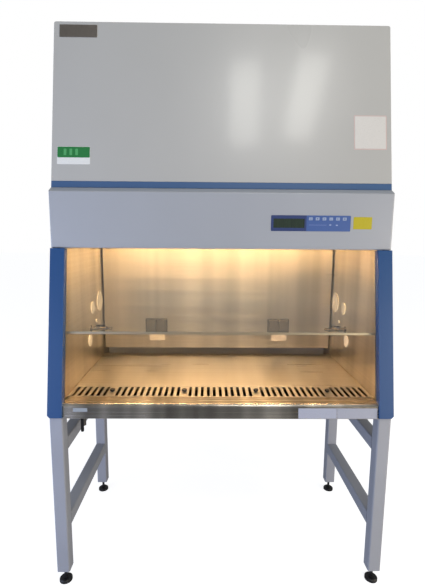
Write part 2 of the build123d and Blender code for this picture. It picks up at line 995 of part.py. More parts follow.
def sash_top_rail():
    """The rail on the sash's upper edge, with an arm at each end that grips the belt."""
    top = sash_head()
    half = chamber_half - glass_in_track - steel
    height = (top - rail_height + rail_wall, top + rail_wall)
    rail = block((-half, half), (glass_depth - rail_wall, glass_back + rail_wall), height)
    groove = block((-half, half), (glass_depth, glass_back), (height[0], top))
    arm_front = glass_back + track_play + track_wall + seam
    arm_depth = (arm_front, arm_front + arm_thickness)
    outer = belt_x()[1] + rail_wall
    arm = block((outer - arm_width, outer), arm_depth, height)
    web = block((outer - arm_width, half), (glass_back, arm_depth[1]), height)
    run = belt_run(belt_axis_depth - belt_radius - belt_thickness, seam)
    grip = block(
        (track_x()[1] + seam, outer),
        (belt_axis_depth - belt_radius - belt_thickness - rail_wall, arm_depth[1]),
        height,
    )
    ends = arm + (web - groove) + grip - run
    return on_front(rail - groove + ends + mirrored(ends))


def track_x():
    """Limits of a sash track across the width."""
    inner = chamber_half - glass_in_track + steel
    return inner, inner + glass_in_track + seam + track_web


def belt_x():
    """Limits of a belt across the width."""
    start = track_x()[1] + 2 * seam + pulley_rim_width
    return start, start + belt_width


def belt_run(front_face, clearance):
    """The space of one straight run of belt, with a clearance round it."""
    x = belt_x()
    return block(
        (x[0] - clearance, x[1] + clearance),
        (front_face - clearance, front_face + belt_thickness + clearance),
        (0, along_front(front_height)),
    )


def pulley_place():
    """Depth and distance up the front of the pulley's axis."""
    return belt_axis_depth, along_front(pulley_height, belt_axis_depth)


def shoe_place():
    """Depth and distance up the front of the return shoe's axis."""
    return belt_axis_depth, along_front(shoe_height, belt_axis_depth)


def sash_track():
    """A sash track with the pulley bearing near its top and the belt's return shoe."""
    x = track_x()
    low = along_front(sill_height + steel, glass_back)
    high = pulley_place()[1] + belt_radius
    depth = (glass_depth - track_play - track_front_wall, glass_back + track_play + track_wall)
    bar = block(x, depth, (low, high))
    groove = block(
        (x[0], x[1] - track_web), (glass_depth - track_play, glass_back + track_play), (low, high)
    )
    web_x = (x[1] - track_web, x[1])
    plates = [
        block(web_x, (depth[1], axis_depth + belt_radius), (up - belt_radius, up + belt_radius))
        for axis_depth, up in (pulley_place(), shoe_place())
    ]
    bearing = rod(shaft_radius + bearing_clearance, (web_x[0], *pulley_place()), track_web, "x")
    shoe = rod(belt_radius - seam, (x[1], *shoe_place()), belt_width + 2 * pulley_rim_width, "x")
    return on_front(bar - groove + plates + shoe - bearing)


def sash_belt():
    """An endless belt over the pulley and the shoe."""
    centre_distance = pulley_place()[1] - shoe_place()[1]
    middle = (belt_axis_depth, (pulley_place()[1] + shoe_place()[1]) / 2)
    outer = 2 * (belt_radius + belt_thickness)
    loop = SlotCenterToCenter(centre_distance, outer, rotation=90)
    loop -= SlotCenterToCenter(centre_distance, 2 * belt_radius, rotation=90)
    face = Plane.YZ * (Pos(*middle) * loop)
    x = belt_x()
    return on_front(Pos(x[0], 0, 0) * extrude(face, x[1] - x[0], dir=(1, 0, 0)))


def sync_shaft():
    """The shaft that keeps both ends of the sash level, with a pulley at each end."""
    x = belt_x()
    place = pulley_place()
    rim_start = x[0] - seam - pulley_rim_width
    hub = rod(belt_radius - seam, (rim_start, *place), x[1] - x[0] + 2 * (seam + pulley_rim_width), "x")
    rims = [
        rod(belt_radius + pulley_rim, (start, *place), pulley_rim_width, "x")
        for start in (rim_start, x[1] + seam)
    ]
    end = x[1] + seam + pulley_rim_width + steel
    shaft = rod(shaft_radius, (-end, *place), 2 * end, "x")
    pulley = hub + rims
    return on_front(shaft + pulley + mirrored(pulley))


def counterweight():
    """A balance weight on the belt's rear run, at the sash's working height."""
    outer = belt_x()[1] + 2 * rail_wall
    rear_run = belt_axis_depth + belt_radius
    run_middle = rear_run + belt_thickness / 2
    lowest = shoe_place()[1] + belt_radius + belt_thickness + weight_margin
    bottom = lowest + sash_travel()[1]
    weight = block(
        (outer - weight_width, outer),
        (run_middle - weight_depth / 2, run_middle + weight_depth / 2),
        (bottom, bottom + weight_length),
    )
    weight = fillet(weight.edges().filter_by(Axis.Z), weight_round)
    return on_front(weight - belt_run(rear_run, seam))


def sash_wiper():
    """The rubber strip between the hood's lower edge and the glass."""
    half = chamber_half - glass_in_track - steel
    front = front_at(hood_bottom) + return_depth + seam
    back = front_at(hood_bottom) + (glass_depth - seam) / lean_cos
    rise = front_at(wiper_height)
    points = [
        (front, hood_bottom),
        (front + rise, hood_bottom + wiper_height),
        (back + rise, hood_bottom + wiper_height),
        (back, hood_bottom),
    ]
    return side_profile(points, (-half, half))


# Ceiling, filters and blower


def diffuser():
    """The slotted ceiling sheet with the lamp's shelf in front and rails for the filter."""
    half = chamber_half + steel
    front = filter_front - seam - steel
    plate = block(
        (-half, half), (front, back_inner - seam), (ceiling_height, ceiling_height + steel)
    )
    riser = block(
        (-half, half), (front, front + steel), (ceiling_height, ceiling_height + lamp_shelf)
    )
    shelf_z = ceiling_height + lamp_shelf
    shelf = block((-half, half), (shelf_front, front + steel), (shelf_z - steel, shelf_z))
    rails = both_sides(
        block(
            (filter_half - filter_frame, filter_half - seam),
            (filter_front + filter_frame, filter_back),
            (ceiling_height, filter_bottom),
        )
    )
    columns = int(2 * (filter_half - diffuser_pitch[0]) / diffuser_pitch[0])
    rows = int((filter_back - filter_front - 2 * diffuser_pitch[1]) / diffuser_pitch[1])
    middle = ((filter_front + filter_back) / 2, ceiling_height + steel / 2)
    slots = [
        Pos(place.position.X, middle[0] + place.position.Y, middle[1])
        * Box(*diffuser_slot, 2 * steel)
        for place in GridLocations(*diffuser_pitch, columns, rows)
    ]
    return plate + riser + shelf + rails - slots


def lamp_fixture():
    """The lamp tube and its two holders under the shelf."""
    start = -lamp_length / 2
    glass = rod(lamp_radius, (start + lamp_cap, lamp_depth, lamp_height), lamp_length - 2 * lamp_cap, "x")
    caps = both_sides(rod(lamp_radius, (-start - lamp_cap, lamp_depth, lamp_height), lamp_cap, "x"))
    top = ceiling_height + lamp_shelf - steel
    width, depth, height = holder_size
    holder = block(
        (-start, -start + width),
        (lamp_depth - depth / 2, lamp_depth + depth / 2),
        (top - height, top),
    )
    return [glass] + caps + both_sides(holder)


def pleated_filter(half, y, z):
    """A filter: a frame round a pack that is grooved above and below."""
    box = block((-half, half), y, z)
    inner_x = half - filter_frame
    inner_y = (y[0] + filter_frame, y[1] - filter_frame)
    frame = box - block((-inner_x, inner_x), inner_y, z)
    pack = block((-inner_x, inner_x), inner_y, (z[0] + filter_frame / 2, z[1] - filter_frame / 2))
    count = int((2 * inner_x - pleat_pitch) / pleat_pitch)
    length = inner_y[1] - inner_y[0]
    middle = (inner_y[0] + inner_y[1]) / 2
    grooves = [
        Pos(place.position.X, middle, height) * Box(pleat_width, length, 2 * pleat_depth)
        for place in GridLocations(pleat_pitch, 1, count, 1)
        for height in (z[0] + filter_frame / 2, z[1] - filter_frame / 2)
    ]
    return [frame, pack - grooves]


def supply_filter():
    """The filter over the work chamber."""
    return pleated_filter(filter_half, (filter_front, filter_back), (filter_bottom, filter_top))


def exhaust_filter():
    """The filter under the exhaust opening."""
    return pleated_filter(
        exhaust_half, (exhaust_front, filter_back), (plenum_top + seam, top_underside - seam)
    )


def plenum_box():
    """The pressure box between the blower and both filters."""
    points = [
        (filter_front, filter_top + seam),
        (filter_front, filter_top + filter_frame),
        (plenum_front, filter_top + filter_frame + plenum_rise),
        (plenum_front, plenum_top),
        (filter_back, plenum_top),
        (filter_back, filter_top + seam),
    ]
    room_x = (steel - filter_half, filter_half - steel)
    room = sheet_room(outline(points), room_x, [(0, -2 * steel)])
    shell = side_profile(points, (-filter_half, filter_half)) - room
    outlet_hole = block(
        (-exhaust_half + filter_frame, exhaust_half - filter_frame),
        (exhaust_front + filter_frame, filter_back - filter_frame),
        (plenum_top - steel, plenum_top),
    )
    inlet_hole = rod(inlet_radius, (0, filter_back - steel, blower_height), steel, "y")
    return shell - outlet_hole - inlet_hole


def blower_back():
    """Depth of the blower housing's back plate."""
    return filter_back - steel - seam


def blower_housing():
    """The blower's scroll, open at the back for air and at the side for its outlet."""
    back = blower_back()
    front = back - blower_depth
    width, height = blower_outlet
    outer = rod(blower_radius, (0, front, blower_height), blower_depth, "y")
    duct_z = (blower_height - blower_radius, blower_height - blower_radius + height)
    outer += block((0, blower_radius + width / 2), (front, back), duct_z)
    inner = rod(blower_radius - steel, (0, front + steel, blower_height), blower_depth - 2 * steel, "y")
    inner += block(
        (0, blower_radius + width / 2),
        (front + steel, back - steel),
        (duct_z[0] + steel, duct_z[1] - steel),
    )
    eye = rod(inlet_radius, (0, back - steel, blower_height), steel, "y")
    hub_hole = rod(3 * motor_shaft, (0, front, blower_height), steel, "y")
    return outer - inner - eye - hub_hole


def impeller():
    """The wheel: back plate, curved blades, front ring and a hub on the motor's shaft."""
    wheel_front = blower_back() - steel - impeller_depth - filter_frame
    centre = (0, wheel_front, blower_height)
    plate = rod(impeller_radius, centre, steel, "y")
    hub = rod(3 * motor_shaft - steel, centre, impeller_depth / 2, "y")
    rim = ring(
        impeller_radius,
        impeller_radius - blade_chord,
        (0, wheel_front + impeller_depth - steel, blower_height),
        steel,
        "y",
    )
    blade = Box(blade_chord, impeller_depth, steel)
    blade_radius = impeller_radius - blade_chord / 2 - steel
    blades = [
        Location((0, wheel_front + impeller_depth / 2, blower_height), (0, turn * 360 / blade_count, 0))
        * Pos(blade_radius, 0, 0)
        * Rot(0, blade_turn, 0)
        * blade
        for turn in range(blade_count)
    ]
    bore = rod(motor_shaft + bearing_clearance, centre, impeller_depth / 2, "y")
    return plate + hub + rim + blades - bore


def blower_motor():
    """The motor on the front of the scroll, with its shaft in the impeller's hub."""
    face = blower_back() - blower_depth
    body = rod(motor_radius, (0, face - motor_length, blower_height), motor_length, "y")
    body = fillet(body.edges().sort_by(Axis.Y)[0], cover_corner)
    wheel_front = blower_back() - steel - impeller_depth - filter_frame
    reach = wheel_front + impeller_depth / 2 - face
    shaft = rod(motor_shaft, (0, face, blower_height), reach, "y")
    return body + shaft


def electrical_box():
    """The box of mains parts, hung under the top beside the power inlet."""
    width, depth, height = electrics_size
    x = (-width / 2, width / 2)
    y = (electrics_front, electrics_front + depth)
    z = (top_underside - seam - height, top_underside - seam)
    inside = block(
        (x[0] + steel, x[1] - steel), (y[0] + steel, y[1] - steel), (z[0] + steel, z[1] - steel)
    )
    box = rounded_block(x, y, z, steel, Axis.Z)
    return box - inside - inlet_body(seam)


# Drain


def drain_valve():
    """The drain cock under the pan: flange, body, nozzle and the boss for its lever."""
    x, y = drain_place
    neck = rod(drain_bore, (x, y, -plug_flange), plug_flange + steel, "z")
    flange = rod(drain_flange, (x, y, -plug_flange), plug_flange, "z")
    body = rod(drain_body, (x, y, -drain_drop), drain_drop - plug_flange, "z")
    nozzle_top = -drain_drop
    nozzle = rod(drain_nozzle, (x, y, nozzle_top - drain_nozzle_length), drain_nozzle_length, "z")
    boss = rod(2 * valve_stem, (x, y - drain_body - valve_stem, lever_height()), drain_body, "y")
    bore = rod(
        valve_stem + bearing_clearance,
        (x, y - drain_body - valve_stem, lever_height()),
        drain_body,
        "y",
    )
    return neck + flange + body + nozzle + boss - bore


def lever_height():
    """Height of the drain lever's stem."""
    return -(drain_drop + plug_flange) / 2


def drain_lever():
    """The drain cock's lever, hanging straight down when shut."""
    x, y = drain_place
    front = y - drain_body - valve_stem - seam
    stem = rod(valve_stem, (x, front, lever_height()), drain_body - seam, "y")
    bar = rounded_block(
        (x - lever_width / 2, x + lever_width / 2),
        (front - lever_thickness, front),
        (lever_height() - lever_length, lever_height() + lever_width / 2),
        lever_width / 3,
        Axis.Y,
    )
    return stem + bar


def solids_of(shape):
    """Every solid of a piece or of a list of pieces."""
    shapes = shape if isinstance(shape, list) else [shape]
    return [solid for piece in shapes for solid in piece.solids()]


def write(name, shape):
    """Stands a piece in its place over the floor and writes it."""
    place = Pos(0, -middle_depth, stand_height)
    solids = [place * solid for solid in solids_of(shape)]
    export_step(Compound(children=solids), f"parts/{name}.step")


def write_pair(name, shape):
    """Writes a right-hand piece and its mirror image on the left."""
    write(f"{name}_right", shape)
    write(f"{name}_left", [mirrored(solid) for solid in solids_of(shape)])


os.makedirs("parts", exist_ok=True)

write_pair("stand_frame", stand_frame())
write("stand_cross_beam", stand_cross_beam())
write("stand_bolts", stand_bolts())
for corner, (leg_y, _) in zip(("front", "rear"), leg_depths()):
    write_pair(f"levelling_foot_{corner}", levelling_foot(leg_y))

write("side_panels", both_sides(side_panel()))
write("back_panel", back_panel())
write("top_panel", top_panel())
write("exhaust_guard", exhaust_guard())
write("power_inlet", power_inlet())
write("upper_front_panel", upper_front_panel())
write("accent_stripe", accent_stripe())
write_pair("side_trim", side_trim())
write("control_hood", control_hood())

write("control_panel", control_panel())
write("display_window", display_window())
for key_name, key_place in zip(key_names, key_places()):
    write(f"{key_name}_key", key(key_place))

write("inner_side_walls", both_sides(inner_side_wall()))
write("inner_back_wall", inner_back_wall())
write("work_tray", work_tray())
write("front_grille", front_grille())
write("grille_knobs", grille_knobs())
write("drain_pan", drain_pan())
write("port_plugs", port_plugs())
write("service_valves", both_sides(service_valve()))
write_pair("valve_handle", valve_handle())
write("outlets", [outlet(place) for place in outlet_places])
for side_name, outlet_x in zip(("left", "right"), outlet_places):
    for lid_name, lid_shift in (("outer", -1), ("inner", 1)):
        inward = lid_shift * (1 if outlet_x < 0 else -1)
        write(f"outlet_lid_{side_name}_{lid_name}", outlet_lid(outlet_x + inward * lid_spacing / 2))

write("sash_glass", sash_glass())
write("sash_edge_strip", sash_edge_strip())
write("sash_top_rail", sash_top_rail())
write("sash_tracks", both_sides(sash_track()))
write("sash_belts", both_sides(sash_belt()))
write("sync_shaft", sync_shaft())
write("counterweights", both_sides(counterweight()))
write("sash_wiper", sash_wiper())

write("diffuser", diffuser())
write("lamp_fixture", lamp_fixture())
write("supply_filter", supply_filter())
write("exhaust_filter", exhaust_filter())
write("plenum_box", plenum_box())
write("blower_housing", blower_housing())
write("impeller", impeller())
write("blower_motor", blower_motor())
write("electrical_box", electrical_box())
write("drain_valve", drain_valve())
write("drain_lever", drain_lever())
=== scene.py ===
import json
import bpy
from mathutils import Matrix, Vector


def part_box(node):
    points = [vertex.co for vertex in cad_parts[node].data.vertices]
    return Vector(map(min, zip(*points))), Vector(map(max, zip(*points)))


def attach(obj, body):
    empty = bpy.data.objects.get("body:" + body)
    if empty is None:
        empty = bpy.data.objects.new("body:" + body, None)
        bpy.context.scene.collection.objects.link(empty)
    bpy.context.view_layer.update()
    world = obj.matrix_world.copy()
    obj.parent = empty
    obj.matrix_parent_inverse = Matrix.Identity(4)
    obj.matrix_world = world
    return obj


bl_info = {
    "name": "Biosafety Cabinet",
    "version": (1, 0, 0),
    "blender": (4, 5, 0),
    "location": "View3D > Sidebar > Cabinet",
    "description": "Finishes, labels and small fittings of a biosafety cabinet on its stand",
    "category": "Object",
}

from math import atan2, cos, pi, radians, sin, tan

import bpy
from bpy.props import FloatProperty, FloatVectorProperty, IntProperty, PointerProperty
from bpy.types import NodeSocket, Operator, Panel, PropertyGroup
from mathutils import Matrix, Vector

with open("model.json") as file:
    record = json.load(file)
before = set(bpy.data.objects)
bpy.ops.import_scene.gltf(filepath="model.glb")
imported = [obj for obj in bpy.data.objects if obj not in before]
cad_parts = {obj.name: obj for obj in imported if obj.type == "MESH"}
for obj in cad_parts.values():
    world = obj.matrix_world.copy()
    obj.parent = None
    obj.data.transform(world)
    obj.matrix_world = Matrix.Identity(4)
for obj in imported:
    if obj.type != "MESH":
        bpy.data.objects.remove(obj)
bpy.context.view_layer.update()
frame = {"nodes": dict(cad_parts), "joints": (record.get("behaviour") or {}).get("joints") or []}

# Places read from the frame, in metres. A "rise" counts up from the cabinet's underside.
CABINET_DEPTH = 0.8
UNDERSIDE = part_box("drain_pan")[0].z
FRONT_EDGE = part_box("back_panel")[1].y - CABINET_DEPTH
SASH_AXIS = next(joint["axis"] for joint in frame["joints"] if joint["name"] == "sash_slide")
FRONT_LEAN = atan2(SASH_AXIS[1], SASH_AXIS[2])
HOOD_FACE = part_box("control_hood")[0].y
PANEL_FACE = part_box("control_panel")[0].y
KEY_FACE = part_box("power_key")[0].y
BACK_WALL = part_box("inner_back_wall")[0].y
UPRIGHT = pi / 2

# Limits of each plate and label across, and their rises
LABEL_LIMITS = {
    "nameplate": ((-0.628, -0.484), (1.433, 1.481)),
    "sticker": ((-0.629, -0.504), (0.947, 1.014)),
    "card": ((0.505, 0.632), (1.013, 1.145)),
    "yellow_label": ((0.498, 0.569), (0.710, 0.756)),
    "panel_rule": ((0.328, 0.396), (0.7242, 0.7256)),
    "sill_label_left": ((0.291, 0.436), (0.0015, 0.0405)),
    "sill_label_right": ((0.4375, 0.590), (0.0015, 0.0405)),
    "sill_tag": ((-0.556, -0.502), (0.026, 0.0395)),
    "outlet_label_left": ((-0.364, -0.282), (0.122, 0.155)),
    "outlet_label_right": ((0.292, 0.374), (0.122, 0.155)),
}

# Middles of the two small marks on the control panel: across, and rise
STATUS_MARKS = ((0.410, 0.7255), (0.435, 0.7245))

# Key symbols as bars: shift across, shift up, width and height
KEY_SYMBOLS = {
    "power": ((0, 0.0012, 0.0009, 0.0034), (0, -0.0018, 0.0048, 0.0009)),
    "lamp": ((0, 0.0006, 0.0036, 0.0030), (0, -0.0024, 0.0020, 0.0009)),
    "uv": ((-0.0016, 0, 0.0010, 0.0046), (0.0016, 0, 0.0010, 0.0046)),
    "outlet": ((-0.0017, 0, 0.0013, 0.0022), (0.0017, 0, 0.0013, 0.0022)),
    "mute": ((-0.0014, 0, 0.0020, 0.0040), (0.0016, 0, 0.0009, 0.0024)),
    "menu": ((0, 0.0018, 0.0050, 0.0009), (0, 0, 0.0050, 0.0009), (0, -0.0018, 0.0050, 0.0009)),
}

# The room's lamps: name, place, size, the setting that holds the power, and colour
ROOM_LAMPS = (
    ("overhead_lamp", (0.6, -0.6, 5.0), (3.0, 3.0), "key", "#FFFDF6"),
    ("left_lamp", (-2.6, -2.0, 0.8), (2.0, 1.4), "left", "#CBD8FF"),
    ("right_lamp", (2.6, -2.0, 0.9), (2.0, 1.6), "right", "#FFF0DC"),
)
ROOM_LAMPS_AIM = (0, 0, 1.6)

# The tall lamps that the upper front mirrors: name, place, and lean about the line of sight
TALL_LAMPS = (
    ("tall_lamp_a", (0.33, -2.6, 3.7), 0.0),
    ("tall_lamp_b", (0.95, -2.5, 3.7), -0.35),
)
TALL_LAMPS_AIM = (0.2, -0.2, 1.9)
TALL_LAMP_SIZE = (0.3, 0.8)
CHAMBER_LAMP_SIZE = (1.15, 0.04)


def linear(hex_colour):
    """An sRGB hex colour as linear red, green, blue and alpha."""
    channels = [int(hex_colour[start:start + 2], 16) / 255 for start in (1, 3, 5)]
    curve = [c / 12.92 if c <= 0.04045 else ((c + 0.055) / 1.055) ** 2.4 for c in channels]
    return (*curve, 1.0)


def colour_property(name, description, hex_colour):
    """A colour that a user can change, given in sRGB."""
    return FloatVectorProperty(
        name=name, description=description, default=linear(hex_colour), size=4, subtype="COLOR",
        min=0.0, max=1.0,
    )


def length_property(name, description, metres):
    """A length that a user can change."""
    return FloatProperty(
        name=name, description=description, default=metres, unit="LENGTH", min=0.0
    )


def angle_property(name, description, degrees):
    """An angle that a user can change."""
    return FloatProperty(
        name=name, description=description, default=radians(degrees), unit="ROTATION"
    )


def power_property(name, description, watts):
    """A lamp's power that a user can change."""
    return FloatProperty(name=name, description=description, default=watts, unit="POWER")


class CabinetFinishes(PropertyGroup):
    """Colours of the cabinet's surfaces."""

    silver: colour_property("Silver", "Enamel of the upper front, sides, back and top", "#B4B5B2")
    hood: colour_property("Hood", "Enamel of the control hood", "#A3A8AF")
    trim: colour_property("Trim", "Blue enamel of the side trims", "#10467C")
    stripe: colour_property("Stripe", "Blue enamel of the stripe", "#3C5D87")
    stand: colour_property("Stand", "Powder coat of the stand", "#9EA2AB")
    # The chamber walls' warm tint is partly the steel's own tone and partly painted warm lamplight
    stainless: colour_property("Stainless", "Brushed sheet of the chamber walls", "#DCD1BE")
    tray: colour_property("Tray", "Brushed sheet of the work tray and grille", "#CECDC8")
    sill: colour_property("Sill", "Brushed sheet of the sill and apron", "#E2DACD")
    overlay: colour_property("Overlay", "Printed film of the control panel", "#44609A")
    overlay_dark: colour_property("Overlay dark", "Film round the display", "#2F3F6E")
    plug: colour_property("Plugs", "Moulded port plugs", "#C4BFB2")
    outlet: colour_property("Outlets", "Moulded outlets and lids", "#55534F")


class CabinetLabels(PropertyGroup):
    """Sizes of the blank plates and labels."""

    film: length_property("Film", "Thickness of a printed film", 0.0004)
    plate: length_property("Plate", "Thickness of the nameplate", 0.0015)
    corner: length_property("Corner", "Corner radius of the labels", 0.003)


class CabinetScrews(PropertyGroup):
    """Sizes of the cover screws."""

    head: length_property("Head", "Radius of a screw head", 0.0045)
    rise: length_property("Rise", "Height of a screw head", 0.0014)
    inset: length_property("Inset", "Distance of a screw from the sheet's edge", 0.016)
    fold: length_property("Fold", "Depth of the front covers' folded edge", 0.0265)
    outlet_plate: length_property("Outlet plate", "Thickness of an outlet's plate", 0.004)
    count: IntProperty(name="Count", description="Screws along a long edge", default=7, min=2)


class CabinetStage(PropertyGroup):
    """The camera, the lamps and the floor."""

    eye: FloatVectorProperty(
        name="Eye", description="Where the camera stands", default=(-0.054, -1.8215, 1.379),
        size=3, subtype="TRANSLATION", unit="LENGTH",
    )
    pitch: angle_property("Pitch", "How far the camera looks down", 8.14)
    yaw: angle_property("Yaw", "How far the camera turns to the left", -0.71)
    roll: angle_property("Roll", "How far the camera leans", 0.43)
    lens: FloatProperty(
        name="Lens", description="Focal length in millimetres on a 36 mm frame", default=24.61,
    )
    floor: length_property("Floor", "Width of the floor", 60.0)
    glow: FloatProperty(
        name="Glow", description="How much whiter the camera sees the floor", default=0.82
    )
    room: FloatProperty(name="Room", description="Strength of the room's light", default=0.34)
    key: power_property("Key", "Power of the lamp overhead", 20.0)
    left: power_property("Left", "Power of the cool lamp", 61.0)
    right: power_property("Right", "Power of the warm lamp", 64.0)
    strips: power_property("Strips", "Power of a tall lamp", 10.0)
    chamber: power_property("Chamber", "Power of the lamp inside", 9.2)


# Shader building

# Noise keeps mostly to these values, which are stretched over a wanted range
CLOUD_LIMITS = {"From Min": 0.3, "From Max": 0.7}


def new_material(name, **sockets):
    """A material with one Principled shader, whose sockets take the given values."""
    material = bpy.data.materials.new(name)
    material.use_nodes = True
    shader = material.node_tree.nodes["Principled BSDF"]
    for socket, value in sockets.items():
        shader.inputs[socket.replace("_", " ")].default_value = value
    return material, material.node_tree, shader


def add_node(tree, kind, inputs=None, **settings):
    """Adds a shader node with its settings; each input is a value or another node's socket."""
    made = tree.nodes.new(kind)
    for name, value in settings.items():
        setattr(made, name, value)
    for name, value in (inputs or {}).items():
        if isinstance(value, NodeSocket):
            tree.links.new(value, made.inputs[name])
        else:
            made.inputs[name].default_value = value
    return made


def object_pattern(tree, spacing):
    """Object coordinates scaled so that one unit is the spacing, in metres, along each axis."""
    place = add_node(tree, "ShaderNodeTexCoord")
    scale = [1 / step for step in spacing]
    mapping = add_node(
        tree, "ShaderNodeMapping", {"Vector": place.outputs["Object"], "Scale": scale}
    )
    return mapping.outputs["Vector"]


def clouds(tree, spacing, detail=2.0, roughness=0.5):
    """Clouds on Object coordinates, whose features are as large as the spacing, in metres."""
    made = add_node(
        tree,
        "ShaderNodeTexNoise",
        {
            "Vector": object_pattern(tree, spacing),
            "Scale": 1.0,
            "Detail": detail,
            "Roughness": roughness,
        },
    )
    return made.outputs["Fac"]


def scaled(colour, factor):
    """A lighter or darker copy of a colour."""
    return (*[min(1.0, channel * factor) for channel in tuple(colour)[:3]], 1.0)


def clouded_material(name, tone, gloss=None, relief=None, **sockets):
    """A material whose colour, gloss and relief follow clouds.

    The tone is clouds and their two colours, the gloss clouds and their two roughnesses, and
    the relief clouds with the strength and distance of their bump.
    """
    material, tree, shader = new_material(name, **sockets)
    pattern, darker, lighter = tone
    share = add_node(
        tree, "ShaderNodeMapRange", {"Value": clouds(tree, **pattern), **CLOUD_LIMITS}
    )
    mixed = add_node(
        tree,
        "ShaderNodeMix",
        {0: share.outputs["Result"], 6: darker, 7: lighter},
        data_type="RGBA",
    )
    tree.links.new(mixed.outputs[2], shader.inputs["Base Color"])
    if gloss:
        pattern, lowest, highest = gloss
        spread_out = add_node(
            tree,
            "ShaderNodeMapRange",
            {
                "Value": clouds(tree, **pattern),
                **CLOUD_LIMITS,
                "To Min": lowest,
                "To Max": highest,
            },
        )
        tree.links.new(spread_out.outputs["Result"], shader.inputs["Roughness"])
    if relief:
        pattern, strength, distance = relief
        bump = add_node(
            tree,
            "ShaderNodeBump",
            {"Height": clouds(tree, **pattern), "Strength": strength, "Distance": distance},
        )
        tree.links.new(bump.outputs["Normal"], shader.inputs["Normal"])
    return material


def enamel(name, colour, roughness, coat=0.25):
    """Sprayed and baked enamel on steel sheet.

    It flows out almost flat, so the gloss is broken only by a slight orange peel. Its waves
    are about 3 mm across and are drawn at 9 mm to show. Wiping leaves broad faint patches.
    """
    patches = {"spacing": (0.35, 0.35, 0.5)}
    peel = {"spacing": (0.009, 0.009, 0.009)}
    return clouded_material(
        name,
        tone=(patches, scaled(colour, 0.965), colour),
        gloss=(patches, roughness * 0.9, roughness * 1.15),
        relief=(peel, 0.05, 0.0006),
        Metallic=0.0,
        IOR=1.5,
        Coat_Weight=coat,
        Coat_Roughness=0.12,
    )


def powder_coat(name, colour):
    """Baked powder coat on tube: satin, with a fine grain of about 1 mm drawn at 3 mm."""
    broad = {"spacing": (0.2, 0.2, 0.2)}
    grain = {"spacing": (0.003, 0.003, 0.003), "detail": 3.0}
    return clouded_material(
        name,
        tone=(broad, scaled(colour, 0.93), colour),
        gloss=(grain, 0.38, 0.52),
        relief=(grain, 0.12, 0.0004),
        Metallic=0.0,
        IOR=1.5,
    )


def brushed_stainless(name, colour, grain, painted_reflection_spacing, roughness, depth):
    """Stainless sheet brushed along one direction.

    The belt leaves long scratches about 0.3 mm apart, drawn at 1.5 mm across the grain, and
    highlights smear square to them. Lighter and darker stripes about 120 mm wide, square to the
    grain, are painted into the colour as a painted reflection of a room. The depth is how light
    a dark painted reflection stripe stays.
    """
    material, tree, shader = new_material(name, Metallic=1.0)
    scratches = clouds(tree, grain, 4.0, 0.65)
    wide_scratches = clouds(tree, [step * 6 for step in grain])
    marks = clouds(tree, (0.25, 0.25, 0.25))
    stretched = [
        add_node(
            tree,
            "ShaderNodeMapRange",
            {"Value": value, **CLOUD_LIMITS, "To Min": lowest, "To Max": highest},
        ).outputs["Result"]
        for value, lowest, highest in (
            (scratches, 0.0, 1.0),
            (clouds(tree, painted_reflection_spacing), 0.0, 1.0),
            (wide_scratches, roughness * 0.8, roughness * 1.2),
            (marks, 0.94, 1.1),
        )
    ]
    # The second value is the painted reflection: stripes that lighten and darken the colour
    between_scratches, painted_reflection_bands, gloss, smudges = stretched
    # Both grain tones carry the painted reflection stripes
    dark_grain_and_painted_reflection, light_grain_and_painted_reflection = [
        add_node(
            tree,
            "ShaderNodeMix",
            {0: painted_reflection_bands, 6: scaled(colour, depth * light), 7: scaled(colour, light)},
            data_type="RGBA",
        ).outputs[2]
        for light in (0.86, 1.0)
    ]
    tone = add_node(
        tree, "ShaderNodeMix", {0: between_scratches, 6: dark_grain_and_painted_reflection, 7: light_grain_and_painted_reflection}, data_type="RGBA"
    )
    tree.links.new(tone.outputs[2], shader.inputs["Base Color"])
    smudged = add_node(tree, "ShaderNodeMath", {0: gloss, 1: smudges}, operation="MULTIPLY")
    tree.links.new(smudged.outputs[0], shader.inputs["Roughness"])
    bump = add_node(
        tree, "ShaderNodeBump", {"Height": scratches, "Strength": 0.09, "Distance": 0.0004}
    )
    tree.links.new(bump.outputs["Normal"], shader.inputs["Normal"])
    return material


def zinc_sheet(name):
    """Hot-dipped steel: grey crystals of zinc about 12 mm across, each with its own gloss."""
    material, tree, shader = new_material(name, Metallic=1.0)
    spangle = add_node(
        tree, "ShaderNodeTexVoronoi", {"Vector": object_pattern(tree, (0.012,) * 3), "Scale": 1.0}
    )
    value = add_node(tree, "ShaderNodeRGBToBW", {"Color": spangle.outputs["Color"]})
    tone = add_node(
        tree,
        "ShaderNodeMix",
        {0: value.outputs["Val"], 6: linear("#8E9193"), 7: linear("#B4B7B9")},
        data_type="RGBA",
    )
    tree.links.new(tone.outputs[2], shader.inputs["Base Color"])
    gloss = add_node(
        tree,
        "ShaderNodeMapRange",
        {"Value": value.outputs["Val"], **CLOUD_LIMITS, "To Min": 0.32, "To Max": 0.48},
    )
    tree.links.new(gloss.outputs["Result"], shader.inputs["Roughness"])
    return material


def anodised(name, hex_colour="#B7B9BA"):
    """Anodised extrusion: matt silver with die lines along its length, drawn 2 mm apart."""
    lines = {"spacing": (0.002, 0.002, 0.4), "detail": 3.0}
    colour = linear(hex_colour)
    return clouded_material(
        name,
        tone=(lines, scaled(colour, 0.9), colour),
        gloss=(lines, 0.34, 0.46),
        relief=(lines, 0.08, 0.0003),
        Metallic=1.0,
    )


def turned_metal(name):
    """Dull nickel plate or ground steel: warm grey, soft gloss, turning marks 1 mm apart."""
    turning = {"spacing": (0.001, 0.02, 0.02)}
    return clouded_material(
        name,
        tone=(turning, linear("#68645E"), linear("#85807A")),
        gloss=(turning, 0.2, 0.32),
        Metallic=1.0,
    )


